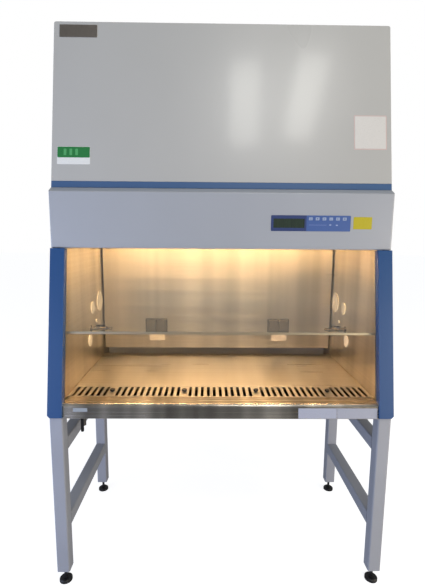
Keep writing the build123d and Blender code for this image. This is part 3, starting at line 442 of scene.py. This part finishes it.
def moulded(name, colour, roughness):
    """Injection-moulded ABS with a spark-eroded grain of about 0.5 mm drawn at 1.5 mm."""
    grain = {"spacing": (0.0015, 0.0015, 0.0015), "detail": 3.0}
    return clouded_material(
        name,
        tone=(grain, scaled(colour, 0.92), colour),
        gloss=(grain, roughness * 0.9, roughness * 1.1),
        relief=(grain, 0.1, 0.0002),
        Metallic=0.0,
        IOR=1.46,
    )


def film(name, hex_colour):
    """Printed polyester film: even ink under a clear satin face with a 4 mm ripple."""
    ripple = {"spacing": (0.004, 0.004, 0.004)}
    colour = linear(hex_colour)
    return clouded_material(
        name,
        tone=(ripple, scaled(colour, 0.95), colour),
        gloss=(ripple, 0.27, 0.345),
        relief=(ripple, 0.06, 0.0002),
        Metallic=0.0,
        IOR=1.5,
        Coat_Weight=0.4,
        Coat_Roughness=0.15,
    )


def overlay_film(name, finishes, border_x, fade):
    """The control panel's film, printed darker round the display up to a soft border."""
    material, tree, shader = new_material(
        name, Metallic=0.0, IOR=1.5, Roughness=0.32, Coat_Weight=0.4, Coat_Roughness=0.15
    )
    place = add_node(tree, "ShaderNodeTexCoord")
    parts = add_node(tree, "ShaderNodeSeparateXYZ", {"Vector": place.outputs["Object"]})
    side = add_node(
        tree,
        "ShaderNodeMapRange",
        {"Value": parts.outputs["X"], "From Min": border_x - fade, "From Max": border_x + fade},
    )
    tone = add_node(
        tree,
        "ShaderNodeMix",
        {0: side.outputs["Result"], 6: finishes.overlay_dark, 7: finishes.overlay},
        data_type="RGBA",
    )
    tree.links.new(tone.outputs[2], shader.inputs["Base Color"])
    ripple = clouds(tree, (0.004, 0.004, 0.004))
    bump = add_node(
        tree, "ShaderNodeBump", {"Height": ripple, "Strength": 0.06, "Distance": 0.0002}
    )
    tree.links.new(bump.outputs["Normal"], shader.inputs["Normal"])
    return material


def display_glass(name):
    """A liquid-crystal window: near black green with a faint matrix of 2 mm cells."""
    material, tree, shader = new_material(
        name, Metallic=0.0, IOR=1.5, Roughness=0.12, Coat_Weight=0.6, Coat_Roughness=0.05
    )
    cells = add_node(
        tree,
        "ShaderNodeTexBrick",
        {
            "Vector": object_pattern(tree, (0.002, 0.002, 0.002)),
            "Color1": linear("#2A3B2C"),
            "Color2": linear("#223025"),
            "Mortar": linear("#131A16"),
            "Scale": 1.0,
            "Mortar Size": 0.08,
            "Brick Width": 1.0,
            "Row Height": 1.0,
        },
        offset=0.0,
    )
    tree.links.new(cells.outputs["Color"], shader.inputs["Base Color"])
    return material


def rubber(name):
    """Black moulded rubber: dull, with a bloom that greys it in 30 mm patches."""
    bloom = {"spacing": (0.03, 0.03, 0.03), "detail": 4.0}
    return clouded_material(
        name,
        tone=(bloom, linear("#1A1A1B"), linear("#2B2B2C")),
        gloss=(bloom, 0.62, 0.8),
        Metallic=0.0,
        IOR=1.52,
    )


def toughened_glass(name):
    """Toughened float glass: clear, barely green, perfectly flat."""
    smear = {"spacing": (0.3, 0.3, 0.3)}
    return clouded_material(
        name,
        tone=(smear, linear("#F4FAF8"), linear("#FCFEFD")),
        Metallic=0.0,
        IOR=1.5,
        Roughness=0.0,
        Transmission_Weight=1.0,
    )


def filter_paper(name):
    """Pleated glass-fibre paper: off-white with folds about 3 mm apart."""
    folds = {"spacing": (0.003, 0.2, 0.2)}
    return clouded_material(
        name,
        tone=(folds, linear("#CFCFC6"), linear("#ECECE4")),
        relief=(folds, 0.5, 0.001),
        Metallic=0.0,
        Roughness=0.9,
    )


def cast_iron(name):
    """Painted iron casting: dark grey with sand texture of about 2 mm."""
    sand = {"spacing": (0.002, 0.002, 0.002), "detail": 4.0}
    return clouded_material(
        name,
        tone=(sand, linear("#3A3B3D"), linear("#4A4B4D")),
        gloss=(sand, 0.5, 0.65),
        relief=(sand, 0.4, 0.0006),
        Metallic=0.0,
        IOR=1.5,
    )


def lamp_phosphor(name):
    """A lit fluorescent tube: white phosphor behind glass, with faint clouds along it."""
    faint = {"spacing": (0.2, 0.05, 0.05)}
    material = clouded_material(
        name,
        tone=(faint, linear("#F2EBDD"), linear("#FFF8EA")),
        Metallic=0.0,
        Roughness=0.25,
        Emission_Strength=1.2,
    )
    tree = material.node_tree
    shader = tree.nodes["Principled BSDF"]
    tone = shader.inputs["Base Color"].links[0].from_socket
    tree.links.new(tone, shader.inputs["Emission Color"])
    return material


# Mesh building

# How far up a face's normal points: the top with its softened rim, or the flat top alone
TOP_AND_RIM = 0.9
FLAT_TOP = 0.95


def deselect():
    """Leaves nothing in the scene selected."""
    bpy.ops.object.select_all(action="DESELECT")


def select_faces_up(piece, least):
    """Selects the faces of a piece that point up, and goes into edit mode."""
    bpy.ops.object.mode_set(mode="EDIT")
    bpy.ops.mesh.select_mode(type="FACE")
    bpy.ops.mesh.select_all(action="DESELECT")
    bpy.ops.object.mode_set(mode="OBJECT")
    for face in piece.data.polygons:
        face.select = face.normal.z > least
    bpy.ops.object.mode_set(mode="EDIT")


def rounded_plate(width, height, thickness, corner):
    """A thin plate on the ground plane, with rounded corners and a softened upper edge."""
    deselect()
    bpy.ops.mesh.primitive_plane_add(size=1)
    piece = bpy.context.object
    piece.scale = (width, height, 1)
    bpy.ops.object.transform_apply(location=False, rotation=False, scale=True)
    bpy.ops.object.mode_set(mode="EDIT")
    bpy.ops.mesh.select_all(action="SELECT")
    bpy.ops.mesh.bevel(offset=corner, segments=4, affect="VERTICES")
    bpy.ops.mesh.select_all(action="SELECT")
    bpy.ops.mesh.extrude_region_move(TRANSFORM_OT_translate={"value": (0, 0, thickness)})
    bpy.ops.mesh.select_all(action="SELECT")
    bpy.ops.mesh.normals_make_consistent(inside=False)
    bpy.ops.object.mode_set(mode="OBJECT")
    select_faces_up(piece, TOP_AND_RIM)
    bpy.ops.mesh.bevel(offset=thickness * 0.4, segments=2, affect="EDGES")
    bpy.ops.object.mode_set(mode="OBJECT")
    return piece


def screw_head(radius, rise):
    """A low round head with a round socket, on the ground plane."""
    deselect()
    bpy.ops.mesh.primitive_cylinder_add(
        vertices=18, radius=radius, depth=rise, location=(0, 0, rise / 2)
    )
    piece = bpy.context.object
    bpy.ops.object.transform_apply(location=True, rotation=False, scale=False)
    select_faces_up(piece, TOP_AND_RIM)
    bpy.ops.mesh.bevel(offset=rise * 0.45, segments=2, affect="EDGES")
    bpy.ops.object.mode_set(mode="OBJECT")
    select_faces_up(piece, FLAT_TOP)
    bpy.ops.mesh.inset(thickness=radius * 0.35)
    bpy.ops.mesh.extrude_region_move(TRANSFORM_OT_translate={"value": (0, 0, -rise * 0.6)})
    bpy.ops.object.mode_set(mode="OBJECT")
    return piece


def seat(piece, name, place, tilt, turn=0.0):
    """Names a piece, moves and turns it to its place, and puts the place in its mesh."""
    deselect()
    piece.select_set(True)
    bpy.context.view_layer.objects.active = piece
    piece.name = name
    piece.location = place
    piece.rotation_euler = (tilt, 0, turn)
    bpy.ops.object.transform_apply(location=True, rotation=True, scale=True)
    return piece


def copy_to(piece, name, places):
    """Copies a piece, drawn on the ground plane, to each place, tilt and turn, as one object."""
    made = []
    for place, tilt, turn in places:
        deselect()
        piece.select_set(True)
        bpy.context.view_layer.objects.active = piece
        bpy.ops.object.duplicate(linked=False)
        copy = bpy.context.object
        copy.location = place
        copy.rotation_euler = (tilt, 0, turn)
        made.append(copy)
    deselect()
    piece.select_set(True)
    bpy.ops.object.delete()
    for copy in made:
        copy.select_set(True)
    bpy.context.view_layer.objects.active = made[0]
    bpy.ops.object.join()
    joined = bpy.context.object
    joined.name = name
    bpy.ops.object.transform_apply(location=True, rotation=True, scale=True)
    return joined


def dress(piece, material, body):
    """Gives a piece its material and the body it rides on."""
    piece.data.materials.clear()
    piece.data.materials.append(material)
    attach(piece, body)


def finish_nodes(material, *names):
    """Gives CAD nodes a material."""
    for name in names:
        node = frame["nodes"][name]
        for slot in node.material_slots:
            slot.material = material


def on_front(x, rise, proud):
    """A point on the leaning front, or proud of it, at a height above the underside."""
    out = Vector((0, -cos(FRONT_LEAN), sin(FRONT_LEAN))) * proud
    return Vector((x, FRONT_EDGE + rise * tan(FRONT_LEAN), UNDERSIDE + rise)) + out


def front_label(name, x, rise, thickness, corner, proud=0.0):
    """A plate on the leaning front between limits across and up."""
    height = (rise[1] - rise[0]) / cos(FRONT_LEAN)
    piece = rounded_plate(x[1] - x[0], height, thickness, corner)
    middle = on_front((x[0] + x[1]) / 2, (rise[0] + rise[1]) / 2, proud)
    return seat(piece, name, middle, UPRIGHT - FRONT_LEAN)


def upright_label(name, x, rise, wall, thickness, corner):
    """A plate on an upright wall that faces the front."""
    piece = rounded_plate(x[1] - x[0], rise[1] - rise[0], thickness, corner)
    middle = ((x[0] + x[1]) / 2, wall, UNDERSIDE + (rise[0] + rise[1]) / 2)
    return seat(piece, name, middle, UPRIGHT)


def spread(start, end, count):
    """Evenly spaced values from start to end."""
    return [start + (end - start) * index / (count - 1) for index in range(count)]


# Finishes of the CAD nodes


class CABINET_OT_enamel(Operator):
    """Enamel and powder coat on the covers and the stand"""

    bl_idname = "cabinet.enamel"
    bl_label = "Enamelled covers and stand"

    def execute(self, context):
        colours = context.scene.cabinet_finishes
        silver = enamel("silver_enamel", colours.silver, roughness=0.3)
        finish_nodes(silver, "upper_front_panel", "side_panels", "back_panel")
        finish_nodes(silver, "top_panel", "exhaust_guard")
        finish_nodes(enamel("hood_enamel", colours.hood, roughness=0.36), "control_hood")
        trim = enamel("blue_enamel", colours.trim, roughness=0.4, coat=0.2)
        finish_nodes(trim, "side_trim_left", "side_trim_right")
        stripe = enamel("stripe_enamel", colours.stripe, roughness=0.4, coat=0.2)
        finish_nodes(stripe, "accent_stripe")
        coat = powder_coat("stand_powder_coat", colours.stand)
        finish_nodes(coat, "stand_frame_left", "stand_frame_right", "stand_cross_beam")
        return {"FINISHED"}


class CABINET_OT_stainless(Operator):
    """Brushed stainless sheet in the work chamber and on the sill, brushed from side to side"""

    bl_idname = "cabinet.stainless"
    bl_label = "Stainless work chamber"

    def execute(self, context):
        colours = context.scene.cabinet_finishes
        level_grain = (0.35, 0.35, 0.0015)
        flat_grain = (0.35, 0.0015, 0.0015)
        # Spacings of the painted reflection stripes; depth is how light a dark painted stripe stays
        upright_painted_reflection_spacing = (0.12, 0.12, 8.0)
        level_painted_reflection_spacing = (0.12, 8.0, 8.0)
        walls = brushed_stainless(
            "stainless_walls", colours.stainless, level_grain, upright_painted_reflection_spacing,
            roughness=0.36, depth=0.66,
        )
        finish_nodes(walls, "inner_side_walls", "inner_back_wall")
        floor = brushed_stainless(
            "stainless_tray", colours.tray, flat_grain, level_painted_reflection_spacing, roughness=0.34, depth=0.82
        )
        finish_nodes(floor, "work_tray", "front_grille", "diffuser")
        # The sill's painted reflection stripes are nearly black at their darkest
        sill = brushed_stainless(
            "stainless_sill", colours.sill, flat_grain, level_painted_reflection_spacing, roughness=0.24, depth=0.14
        )
        finish_nodes(sill, "drain_pan")
        return {"FINISHED"}


class CABINET_OT_sash(Operator):
    """Glass, aluminium, rubber and iron of the sash and its balance"""

    bl_idname = "cabinet.sash"
    bl_label = "Sash and balance"

    def execute(self, context):
        finish_nodes(toughened_glass("toughened_glass"), "sash_glass")
        metal = anodised("anodised_aluminium")
        finish_nodes(metal, "sash_top_rail", "sash_tracks", "blower_motor")
        finish_nodes(anodised("dull_aluminium", "#C4B89E"), "sash_edge_strip")
        finish_nodes(rubber("black_rubber"), "sash_belts", "sash_wiper")
        finish_nodes(cast_iron("painted_iron"), "counterweights")
        finish_nodes(turned_metal("ground_steel"), "sync_shaft")
        return {"FINISHED"}


class CABINET_OT_machinery(Operator):
    """Zinc sheet and bolts, filter paper and the lamp"""

    bl_idname = "cabinet.machinery"
    bl_label = "Filters, blower and lamp"

    def execute(self, context):
        zinc = zinc_sheet("zinc_sheet")
        finish_nodes(zinc, "plenum_box", "blower_housing", "impeller")
        finish_nodes(zinc, "electrical_box", "stand_bolts")
        finish_nodes(filter_paper("filter_paper"), "supply_filter", "exhaust_filter")
        finish_nodes(lamp_phosphor("lamp_phosphor"), "lamp_fixture")
        return {"FINISHED"}


class CABINET_OT_fittings(Operator):
    """Plugs, valves, outlets, knobs and feet"""

    bl_idname = "cabinet.fittings"
    bl_label = "Fittings"

    def execute(self, context):
        colours = context.scene.cabinet_finishes
        finish_nodes(moulded("plug_plastic", colours.plug, 0.4), "port_plugs")
        finish_nodes(turned_metal("nickel_plate"), "service_valves", "drain_valve")
        black = moulded("black_plastic", linear("#1C1C1E"), 0.4)
        finish_nodes(black, "valve_handle_left", "valve_handle_right")
        finish_nodes(black, "drain_lever", "grille_knobs")
        feet = [name for name in frame["nodes"] if name.startswith("levelling_foot")]
        finish_nodes(black, *feet)
        grey = moulded("outlet_plastic", colours.outlet, 0.42)
        lids = [name for name in frame["nodes"] if name.startswith("outlet_lid")]
        finish_nodes(grey, "outlets", *lids)
        finish_nodes(moulded("inlet_plastic", linear("#2A2A2C"), 0.42), "power_inlet")
        return {"FINISHED"}


class CABINET_OT_controls(Operator):
    """The control panel's film, its display and its keys with their symbols"""

    bl_idname = "cabinet.controls"
    bl_label = "Control panel"

    def execute(self, context):
        colours = context.scene.cabinet_finishes
        sizes = context.scene.cabinet_labels
        border = (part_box("display_window")[1].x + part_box("power_key")[0].x) / 2
        overlay = overlay_film("overlay_film", colours, border, fade=0.0015)
        finish_nodes(overlay, "control_panel")
        finish_nodes(display_glass("display_glass"), "display_window")
        keys = [f"{name}_key" for name in KEY_SYMBOLS]
        finish_nodes(moulded("key_plastic", linear("#98A9C9"), 0.4), *keys)
        ink = film("key_ink", "#2B3B6B")
        for name, bars in KEY_SYMBOLS.items():
            low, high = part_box(f"{name}_key")
            middle = (low + high) / 2
            for index, (across, up, width, height) in enumerate(bars):
                bar = rounded_plate(width, height, sizes.film / 2, min(width, height) / 4)
                place = (middle.x + across, KEY_FACE, middle.z + up)
                seat(bar, f"{name}_symbol_{index}", place, UPRIGHT)
                dress(bar, ink, f"{name}_key")
        pale = film("lamp_mark_film", "#9DACD0")
        half_width, half_height, mark_corner, rule_corner = 0.004, 0.0022, 0.0018, 0.0005
        for index, (x, rise) in enumerate(STATUS_MARKS):
            mark = upright_label(
                f"status_mark_{index}", (x - half_width, x + half_width),
                (rise - half_height, rise + half_height), PANEL_FACE, sizes.film, mark_corner,
            )
            dress(mark, pale, "cabinet")
        x, rise = LABEL_LIMITS["panel_rule"]
        rule = upright_label("panel_rule", x, rise, PANEL_FACE, sizes.film, rule_corner)
        dress(rule, film("rule_film", "#8296CC"), "cabinet")
        return {"FINISHED"}


# Blank plates and labels


class CABINET_OT_nameplate(Operator):
    """The blank metal plates at the upper left of the front and on the back"""

    bl_idname = "cabinet.nameplate"
    bl_label = "Nameplate"

    def execute(self, context):
        sizes = context.scene.cabinet_labels
        x, rise = LABEL_LIMITS["nameplate"]
        plate = front_label("nameplate", x, rise, sizes.plate, sizes.corner)
        metal = anodised("nameplate_metal", "#8D867F")
        dress(plate, metal, "cabinet")
        width, height, from_side, from_top = 0.12, 0.07, 0.16, 0.14
        rear = rounded_plate(width, height, sizes.plate / 2, sizes.corner)
        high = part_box("back_panel")[1]
        seat(rear, "rear_plate", (high.x - from_side, high.y, high.z - from_top), UPRIGHT, pi)
        dress(rear, metal, "cabinet")
        return {"FINISHED"}


class CABINET_OT_sticker(Operator):
    """The green and white sticker at the lower left, with three plain bars"""

    bl_idname = "cabinet.sticker"
    bl_label = "Sticker"

    def execute(self, context):
        sizes = context.scene.cabinet_labels
        x, rise = LABEL_LIMITS["sticker"]
        white = front_label("sticker_base", x, rise, sizes.film, sizes.corner)
        dress(white, film("sticker_white", "#E6E9E6"), "cabinet")
        white_share, rim = 0.38, 0.001
        split = rise[0] + white_share * (rise[1] - rise[0])
        field = front_label(
            "sticker_field", (x[0] + rim, x[1] - rim), (split, rise[1] - rim),
            sizes.film, sizes.corner, sizes.film,
        )
        dress(field, film("sticker_green", "#1F7A3C"), "cabinet")
        light = film("sticker_light_green", "#4FA765")
        bar_width, bar_share, bar_corner, first_bar, pitch = 0.010, 0.6, 0.002, 0.03, 0.022
        height = bar_share * (rise[1] - split)
        for index in range(3):
            bar = rounded_plate(bar_width, height, sizes.film, bar_corner)
            across = x[0] + first_bar + index * pitch
            middle = on_front(across, (split + rise[1]) / 2, 2 * sizes.film)
            seat(bar, f"sticker_bar_{index}", middle, UPRIGHT - FRONT_LEAN)
            dress(bar, light, "cabinet")
        return {"FINISHED"}


class CABINET_OT_card(Operator):
    """The blank card at the right and the blank yellow label on the hood"""

    bl_idname = "cabinet.card"
    bl_label = "Card and yellow label"

    def execute(self, context):
        sizes = context.scene.cabinet_labels
        x, rise = LABEL_LIMITS["card"]
        card = front_label("card", x, rise, sizes.film, sizes.corner)
        dress(card, film("card_rim", "#C9B6B2"), "cabinet")
        rim = 0.004
        face = front_label(
            "card_face", (x[0] + rim, x[1] - rim), (rise[0] + rim, rise[1] - rim),
            sizes.film, sizes.corner / 2, sizes.film,
        )
        dress(face, film("card_white", "#D4D3CF"), "cabinet")
        x, rise = LABEL_LIMITS["yellow_label"]
        yellow = upright_label("yellow_label", x, rise, HOOD_FACE, sizes.film, sizes.corner)
        dress(yellow, film("yellow_film", "#B7AB1C"), "cabinet")
        return {"FINISHED"}


class CABINET_OT_sill_labels(Operator):
    """The blank labels on the apron"""

    bl_idname = "cabinet.sill_labels"
    bl_label = "Sill labels"

    def execute(self, context):
        sizes = context.scene.cabinet_labels
        # The apron's face starts a little behind the front edge and leans back over its height
        apron_start, apron_run, apron_height = 0.009, 0.007, 0.056
        lean = atan2(apron_run, apron_height)
        colours = (
            ("sill_label_left", "#AAB0C2"),
            ("sill_label_right", "#A4A9B8"),
            ("sill_tag", "#9AA2A8"),
        )
        for name, hex_colour in colours:
            x, rise = LABEL_LIMITS[name]
            plate = rounded_plate(x[1] - x[0], rise[1] - rise[0], sizes.film, sizes.corner / 2)
            middle = (rise[0] + rise[1]) / 2
            depth = FRONT_EDGE + apron_start + middle * sin(lean)
            place = ((x[0] + x[1]) / 2, depth, UNDERSIDE + middle * cos(lean))
            seat(plate, name, place, UPRIGHT - lean)
            dress(plate, film(f"{name}_film", hex_colour), "cabinet")
        return {"FINISHED"}


class CABINET_OT_outlet_labels(Operator):
    """The blank cream label under each outlet"""

    bl_idname = "cabinet.outlet_labels"
    bl_label = "Outlet labels"

    def execute(self, context):
        sizes = context.scene.cabinet_labels
        cream = film("cream_film", "#B9B2A6")
        for name in ("outlet_label_left", "outlet_label_right"):
            x, rise = LABEL_LIMITS[name]
            label = upright_label(name, x, rise, BACK_WALL, sizes.film, sizes.corner)
            dress(label, cream, "cabinet")
        return {"FINISHED"}


class CABINET_OT_screws(Operator):
    """The screws of the back, side and top sheets and of the outlets"""

    bl_idname = "cabinet.screws"
    bl_label = "Cover screws"

    def execute(self, context):
        sizes = context.scene.cabinet_screws
        steel = turned_metal("screw_steel")
        rows = (
            ("back_screws", sizes.head, sizes.rise, self.back_places(sizes)),
            ("top_screws", sizes.head, sizes.rise, self.top_places(sizes)),
            ("side_screws", sizes.head, sizes.rise, self.side_places(sizes)),
            ("outlet_screws", sizes.head * 0.7, sizes.rise / 2, self.outlet_places(sizes)),
        )
        for name, head, rise, places in rows:
            screws = copy_to(screw_head(head, rise), name, places)
            dress(screws, steel, "cabinet")
        return {"FINISHED"}

    def back_places(self, sizes):
        """All round the back sheet."""
        low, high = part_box("back_panel")
        rises = spread(low.z + sizes.inset, high.z - sizes.inset, sizes.count)
        across = spread(low.x + sizes.inset, high.x - sizes.inset, sizes.count)
        sides = [(x, z) for x in (across[0], across[-1]) for z in rises]
        ends = [(x, z) for x in across[1:-1] for z in (rises[0], rises[-1])]
        return [((x, high.y, z), UPRIGHT, pi) for x, z in sides + ends]

    def top_places(self, sizes):
        """Along the sides and the back of the top sheet, in line with the back's screws."""
        low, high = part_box("back_panel")
        across = spread(low.x + sizes.inset, high.x - sizes.inset, sizes.count)
        low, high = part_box("top_panel")
        front_inset, side_count = 0.03, 4
        depths = spread(low.y + front_inset, high.y - sizes.inset, side_count)
        sides = [(x, y) for x in (across[0], across[-1]) for y in depths]
        rear = [(x, depths[-1]) for x in across[1:-1]]
        return [((x, y, high.z), 0, 0) for x, y in sides + rear]

    def side_places(self, sizes):
        """Along the leaning front and the upright rear of both side sheets."""
        low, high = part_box("side_panels")
        places = []
        for x, turn in ((low.x, -UPRIGHT), (high.x, UPRIGHT)):
            for z in spread(low.z + sizes.inset, high.z - sizes.inset, sizes.count):
                front = FRONT_EDGE + (z - UNDERSIDE) * tan(FRONT_LEAN) + sizes.fold + sizes.inset
                places += [((x, y, z), UPRIGHT, turn) for y in (front, high.y - sizes.inset)]
        return places

    def outlet_places(self, sizes):
        """Over and under the lids of both outlets."""
        low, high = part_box("outlets")
        middle = (low.z + high.z) / 2
        plate_front = BACK_WALL - sizes.outlet_plate
        outlet_x, under, over = 0.326, -0.031, 0.025
        return [
            ((x, plate_front, middle + shift), UPRIGHT, 0)
            for x in (-outlet_x, outlet_x)
            for shift in (under, over)
        ]


# Stage


class CABINET_OT_stage(Operator):
    """The floor, the light and the camera"""

    bl_idname = "cabinet.stage"
    bl_label = "Stage"

    def execute(self, context):
        settings = context.scene.cabinet_stage
        self.add_floor(settings)
        self.add_world(context.scene, settings)
        self.add_lamps(settings)
        self.add_camera(context.scene, settings)
        context.scene.view_settings.view_transform = "Standard"
        return {"FINISHED"}

    def add_floor(self, settings):
        """A pale floor that shows white to the camera and still takes the object's shadow."""
        deselect()
        bpy.ops.mesh.primitive_plane_add(size=settings.floor, location=(0, 0, 0))
        floor = bpy.context.object
        floor.name = "floor"
        material, tree, shader = new_material(
            "pale_floor", Base_Color=linear("#B9BCC0"), Roughness=0.9
        )
        path = add_node(tree, "ShaderNodeLightPath")
        seen = add_node(
            tree,
            "ShaderNodeMath",
            {0: path.outputs["Is Camera Ray"], 1: settings.glow},
            operation="MULTIPLY",
        )
        glow = add_node(tree, "ShaderNodeEmission", {"Strength": seen.outputs[0]})
        both = add_node(tree, "ShaderNodeAddShader", {0: shader.outputs[0], 1: glow.outputs[0]})
        tree.links.new(both.outputs[0], tree.nodes["Material Output"].inputs["Surface"])
        floor.data.materials.append(material)

    def add_world(self, scene, settings):
        """White behind the object, and an even grey room for its light."""
        world = bpy.data.worlds.new("studio")
        scene.world = world
        world.use_nodes = True
        tree = world.node_tree
        room = tree.nodes["Background"]
        room.inputs["Color"].default_value = linear("#F4F6F8")
        room.inputs["Strength"].default_value = settings.room
        white = add_node(tree, "ShaderNodeBackground", {"Color": (1, 1, 1, 1), "Strength": 1.0})
        path = add_node(tree, "ShaderNodeLightPath")
        seen = add_node(
            tree,
            "ShaderNodeMath",
            {0: path.outputs["Is Camera Ray"], 1: path.outputs["Is Transmission Ray"]},
            operation="MAXIMUM",
        )
        mix = add_node(
            tree,
            "ShaderNodeMixShader",
            {0: seen.outputs[0], 1: room.outputs[0], 2: white.outputs[0]},
        )
        output = tree.nodes["World Output"]
        tree.links.new(mix.outputs[0], output.inputs["Surface"])

    def add_lamps(self, settings):
        """The lamps of the room, the tall ones and the chamber's."""
        for name, place, size, power, colour in ROOM_LAMPS:
            watts = getattr(settings, power)
            self.area_lamp(name, place, ROOM_LAMPS_AIM, size, watts, colour)
        for name, place, lean in TALL_LAMPS:
            self.area_lamp(
                name, place, TALL_LAMPS_AIM, TALL_LAMP_SIZE, settings.strips, "#FFFDF6", lean
            )
        low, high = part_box("lamp_fixture")
        below_tube = 0.01
        under = Vector((0, (low.y + high.y) / 2, low.z - below_tube))
        towards_back_wall = under + Vector((0, 0.5, -1.0))
        self.area_lamp(
            "chamber_lamp", under, towards_back_wall, CHAMBER_LAMP_SIZE, settings.chamber, "#FFD095"
        )

    def area_lamp(self, name, place, aim, size, watts, hex_colour, lean=0.0):
        """A rectangular lamp that looks at a point, turned about its own line of sight."""
        data = bpy.data.lights.new(name, "AREA")
        data.shape = "RECTANGLE"
        data.size, data.size_y = size
        data.energy = watts
        data.color = linear(hex_colour)[:3]
        lamp = bpy.data.objects.new(name, data)
        lamp.location = place
        direction = Vector(aim) - Vector(place)
        turned = direction.to_track_quat("-Z", "Y").to_matrix() @ Matrix.Rotation(lean, 3, "Z")
        lamp.rotation_euler = turned.to_euler()
        bpy.context.scene.collection.objects.link(lamp)

    def add_camera(self, scene, settings):
        """The photograph's viewpoint."""
        data = bpy.data.cameras.new("camera")
        data.lens = settings.lens
        data.sensor_width = 36.0
        camera = bpy.data.objects.new("camera", data)
        scene.collection.objects.link(camera)
        turn = Matrix.Rotation(settings.yaw, 4, "Z")
        tilt = Matrix.Rotation(UPRIGHT - settings.pitch, 4, "X")
        lean = Matrix.Rotation(settings.roll, 4, "Z")
        camera.matrix_world = Matrix.Translation(settings.eye) @ turn @ tilt @ lean
        scene.camera = camera


PIECE_OPERATORS = (
    CABINET_OT_enamel,
    CABINET_OT_stainless,
    CABINET_OT_sash,
    CABINET_OT_machinery,
    CABINET_OT_fittings,
    CABINET_OT_controls,
    CABINET_OT_nameplate,
    CABINET_OT_sticker,
    CABINET_OT_card,
    CABINET_OT_sill_labels,
    CABINET_OT_outlet_labels,
    CABINET_OT_screws,
    CABINET_OT_stage,
)
SETTINGS = {
    "cabinet_finishes": CabinetFinishes,
    "cabinet_labels": CabinetLabels,
    "cabinet_screws": CabinetScrews,
    "cabinet_stage": CabinetStage,
}


class CABINET_PT_sidebar(Panel):
    """Lists the cabinet's pieces and their settings"""

    bl_idname = "CABINET_PT_sidebar"
    bl_label = "Biosafety cabinet"
    bl_space_type = "VIEW_3D"
    bl_region_type = "UI"
    bl_category = "Cabinet"

    def draw(self, context):
        layout = self.layout
        for attribute, group in SETTINGS.items():
            values = getattr(context.scene, attribute)
            box = layout.box()
            for name in group.__annotations__:
                box.prop(values, name)
        for operator in PIECE_OPERATORS:
            layout.operator(operator.bl_idname)


def register():
    for group in SETTINGS.values():
        bpy.utils.register_class(group)
    for attribute, group in SETTINGS.items():
        setattr(bpy.types.Scene, attribute, PointerProperty(type=group))
    for operator in PIECE_OPERATORS:
        bpy.utils.register_class(operator)
    bpy.utils.register_class(CABINET_PT_sidebar)


def unregister():
    bpy.utils.unregister_class(CABINET_PT_sidebar)
    for operator in reversed(PIECE_OPERATORS):
        bpy.utils.unregister_class(operator)
    for attribute, group in reversed(SETTINGS.items()):
        delattr(bpy.types.Scene, attribute)
        bpy.utils.unregister_class(group)


def main():
    """Makes the whole cabinet."""
    register()
    bpy.ops.cabinet.enamel()
    bpy.ops.cabinet.stainless()
    bpy.ops.cabinet.sash()
    bpy.ops.cabinet.machinery()
    bpy.ops.cabinet.fittings()
    bpy.ops.cabinet.controls()
    bpy.ops.cabinet.nameplate()
    bpy.ops.cabinet.sticker()
    bpy.ops.cabinet.card()
    bpy.ops.cabinet.sill_labels()
    bpy.ops.cabinet.outlet_labels()
    bpy.ops.cabinet.screws()
    bpy.ops.cabinet.stage()


if __name__ == "__main__":
    main()
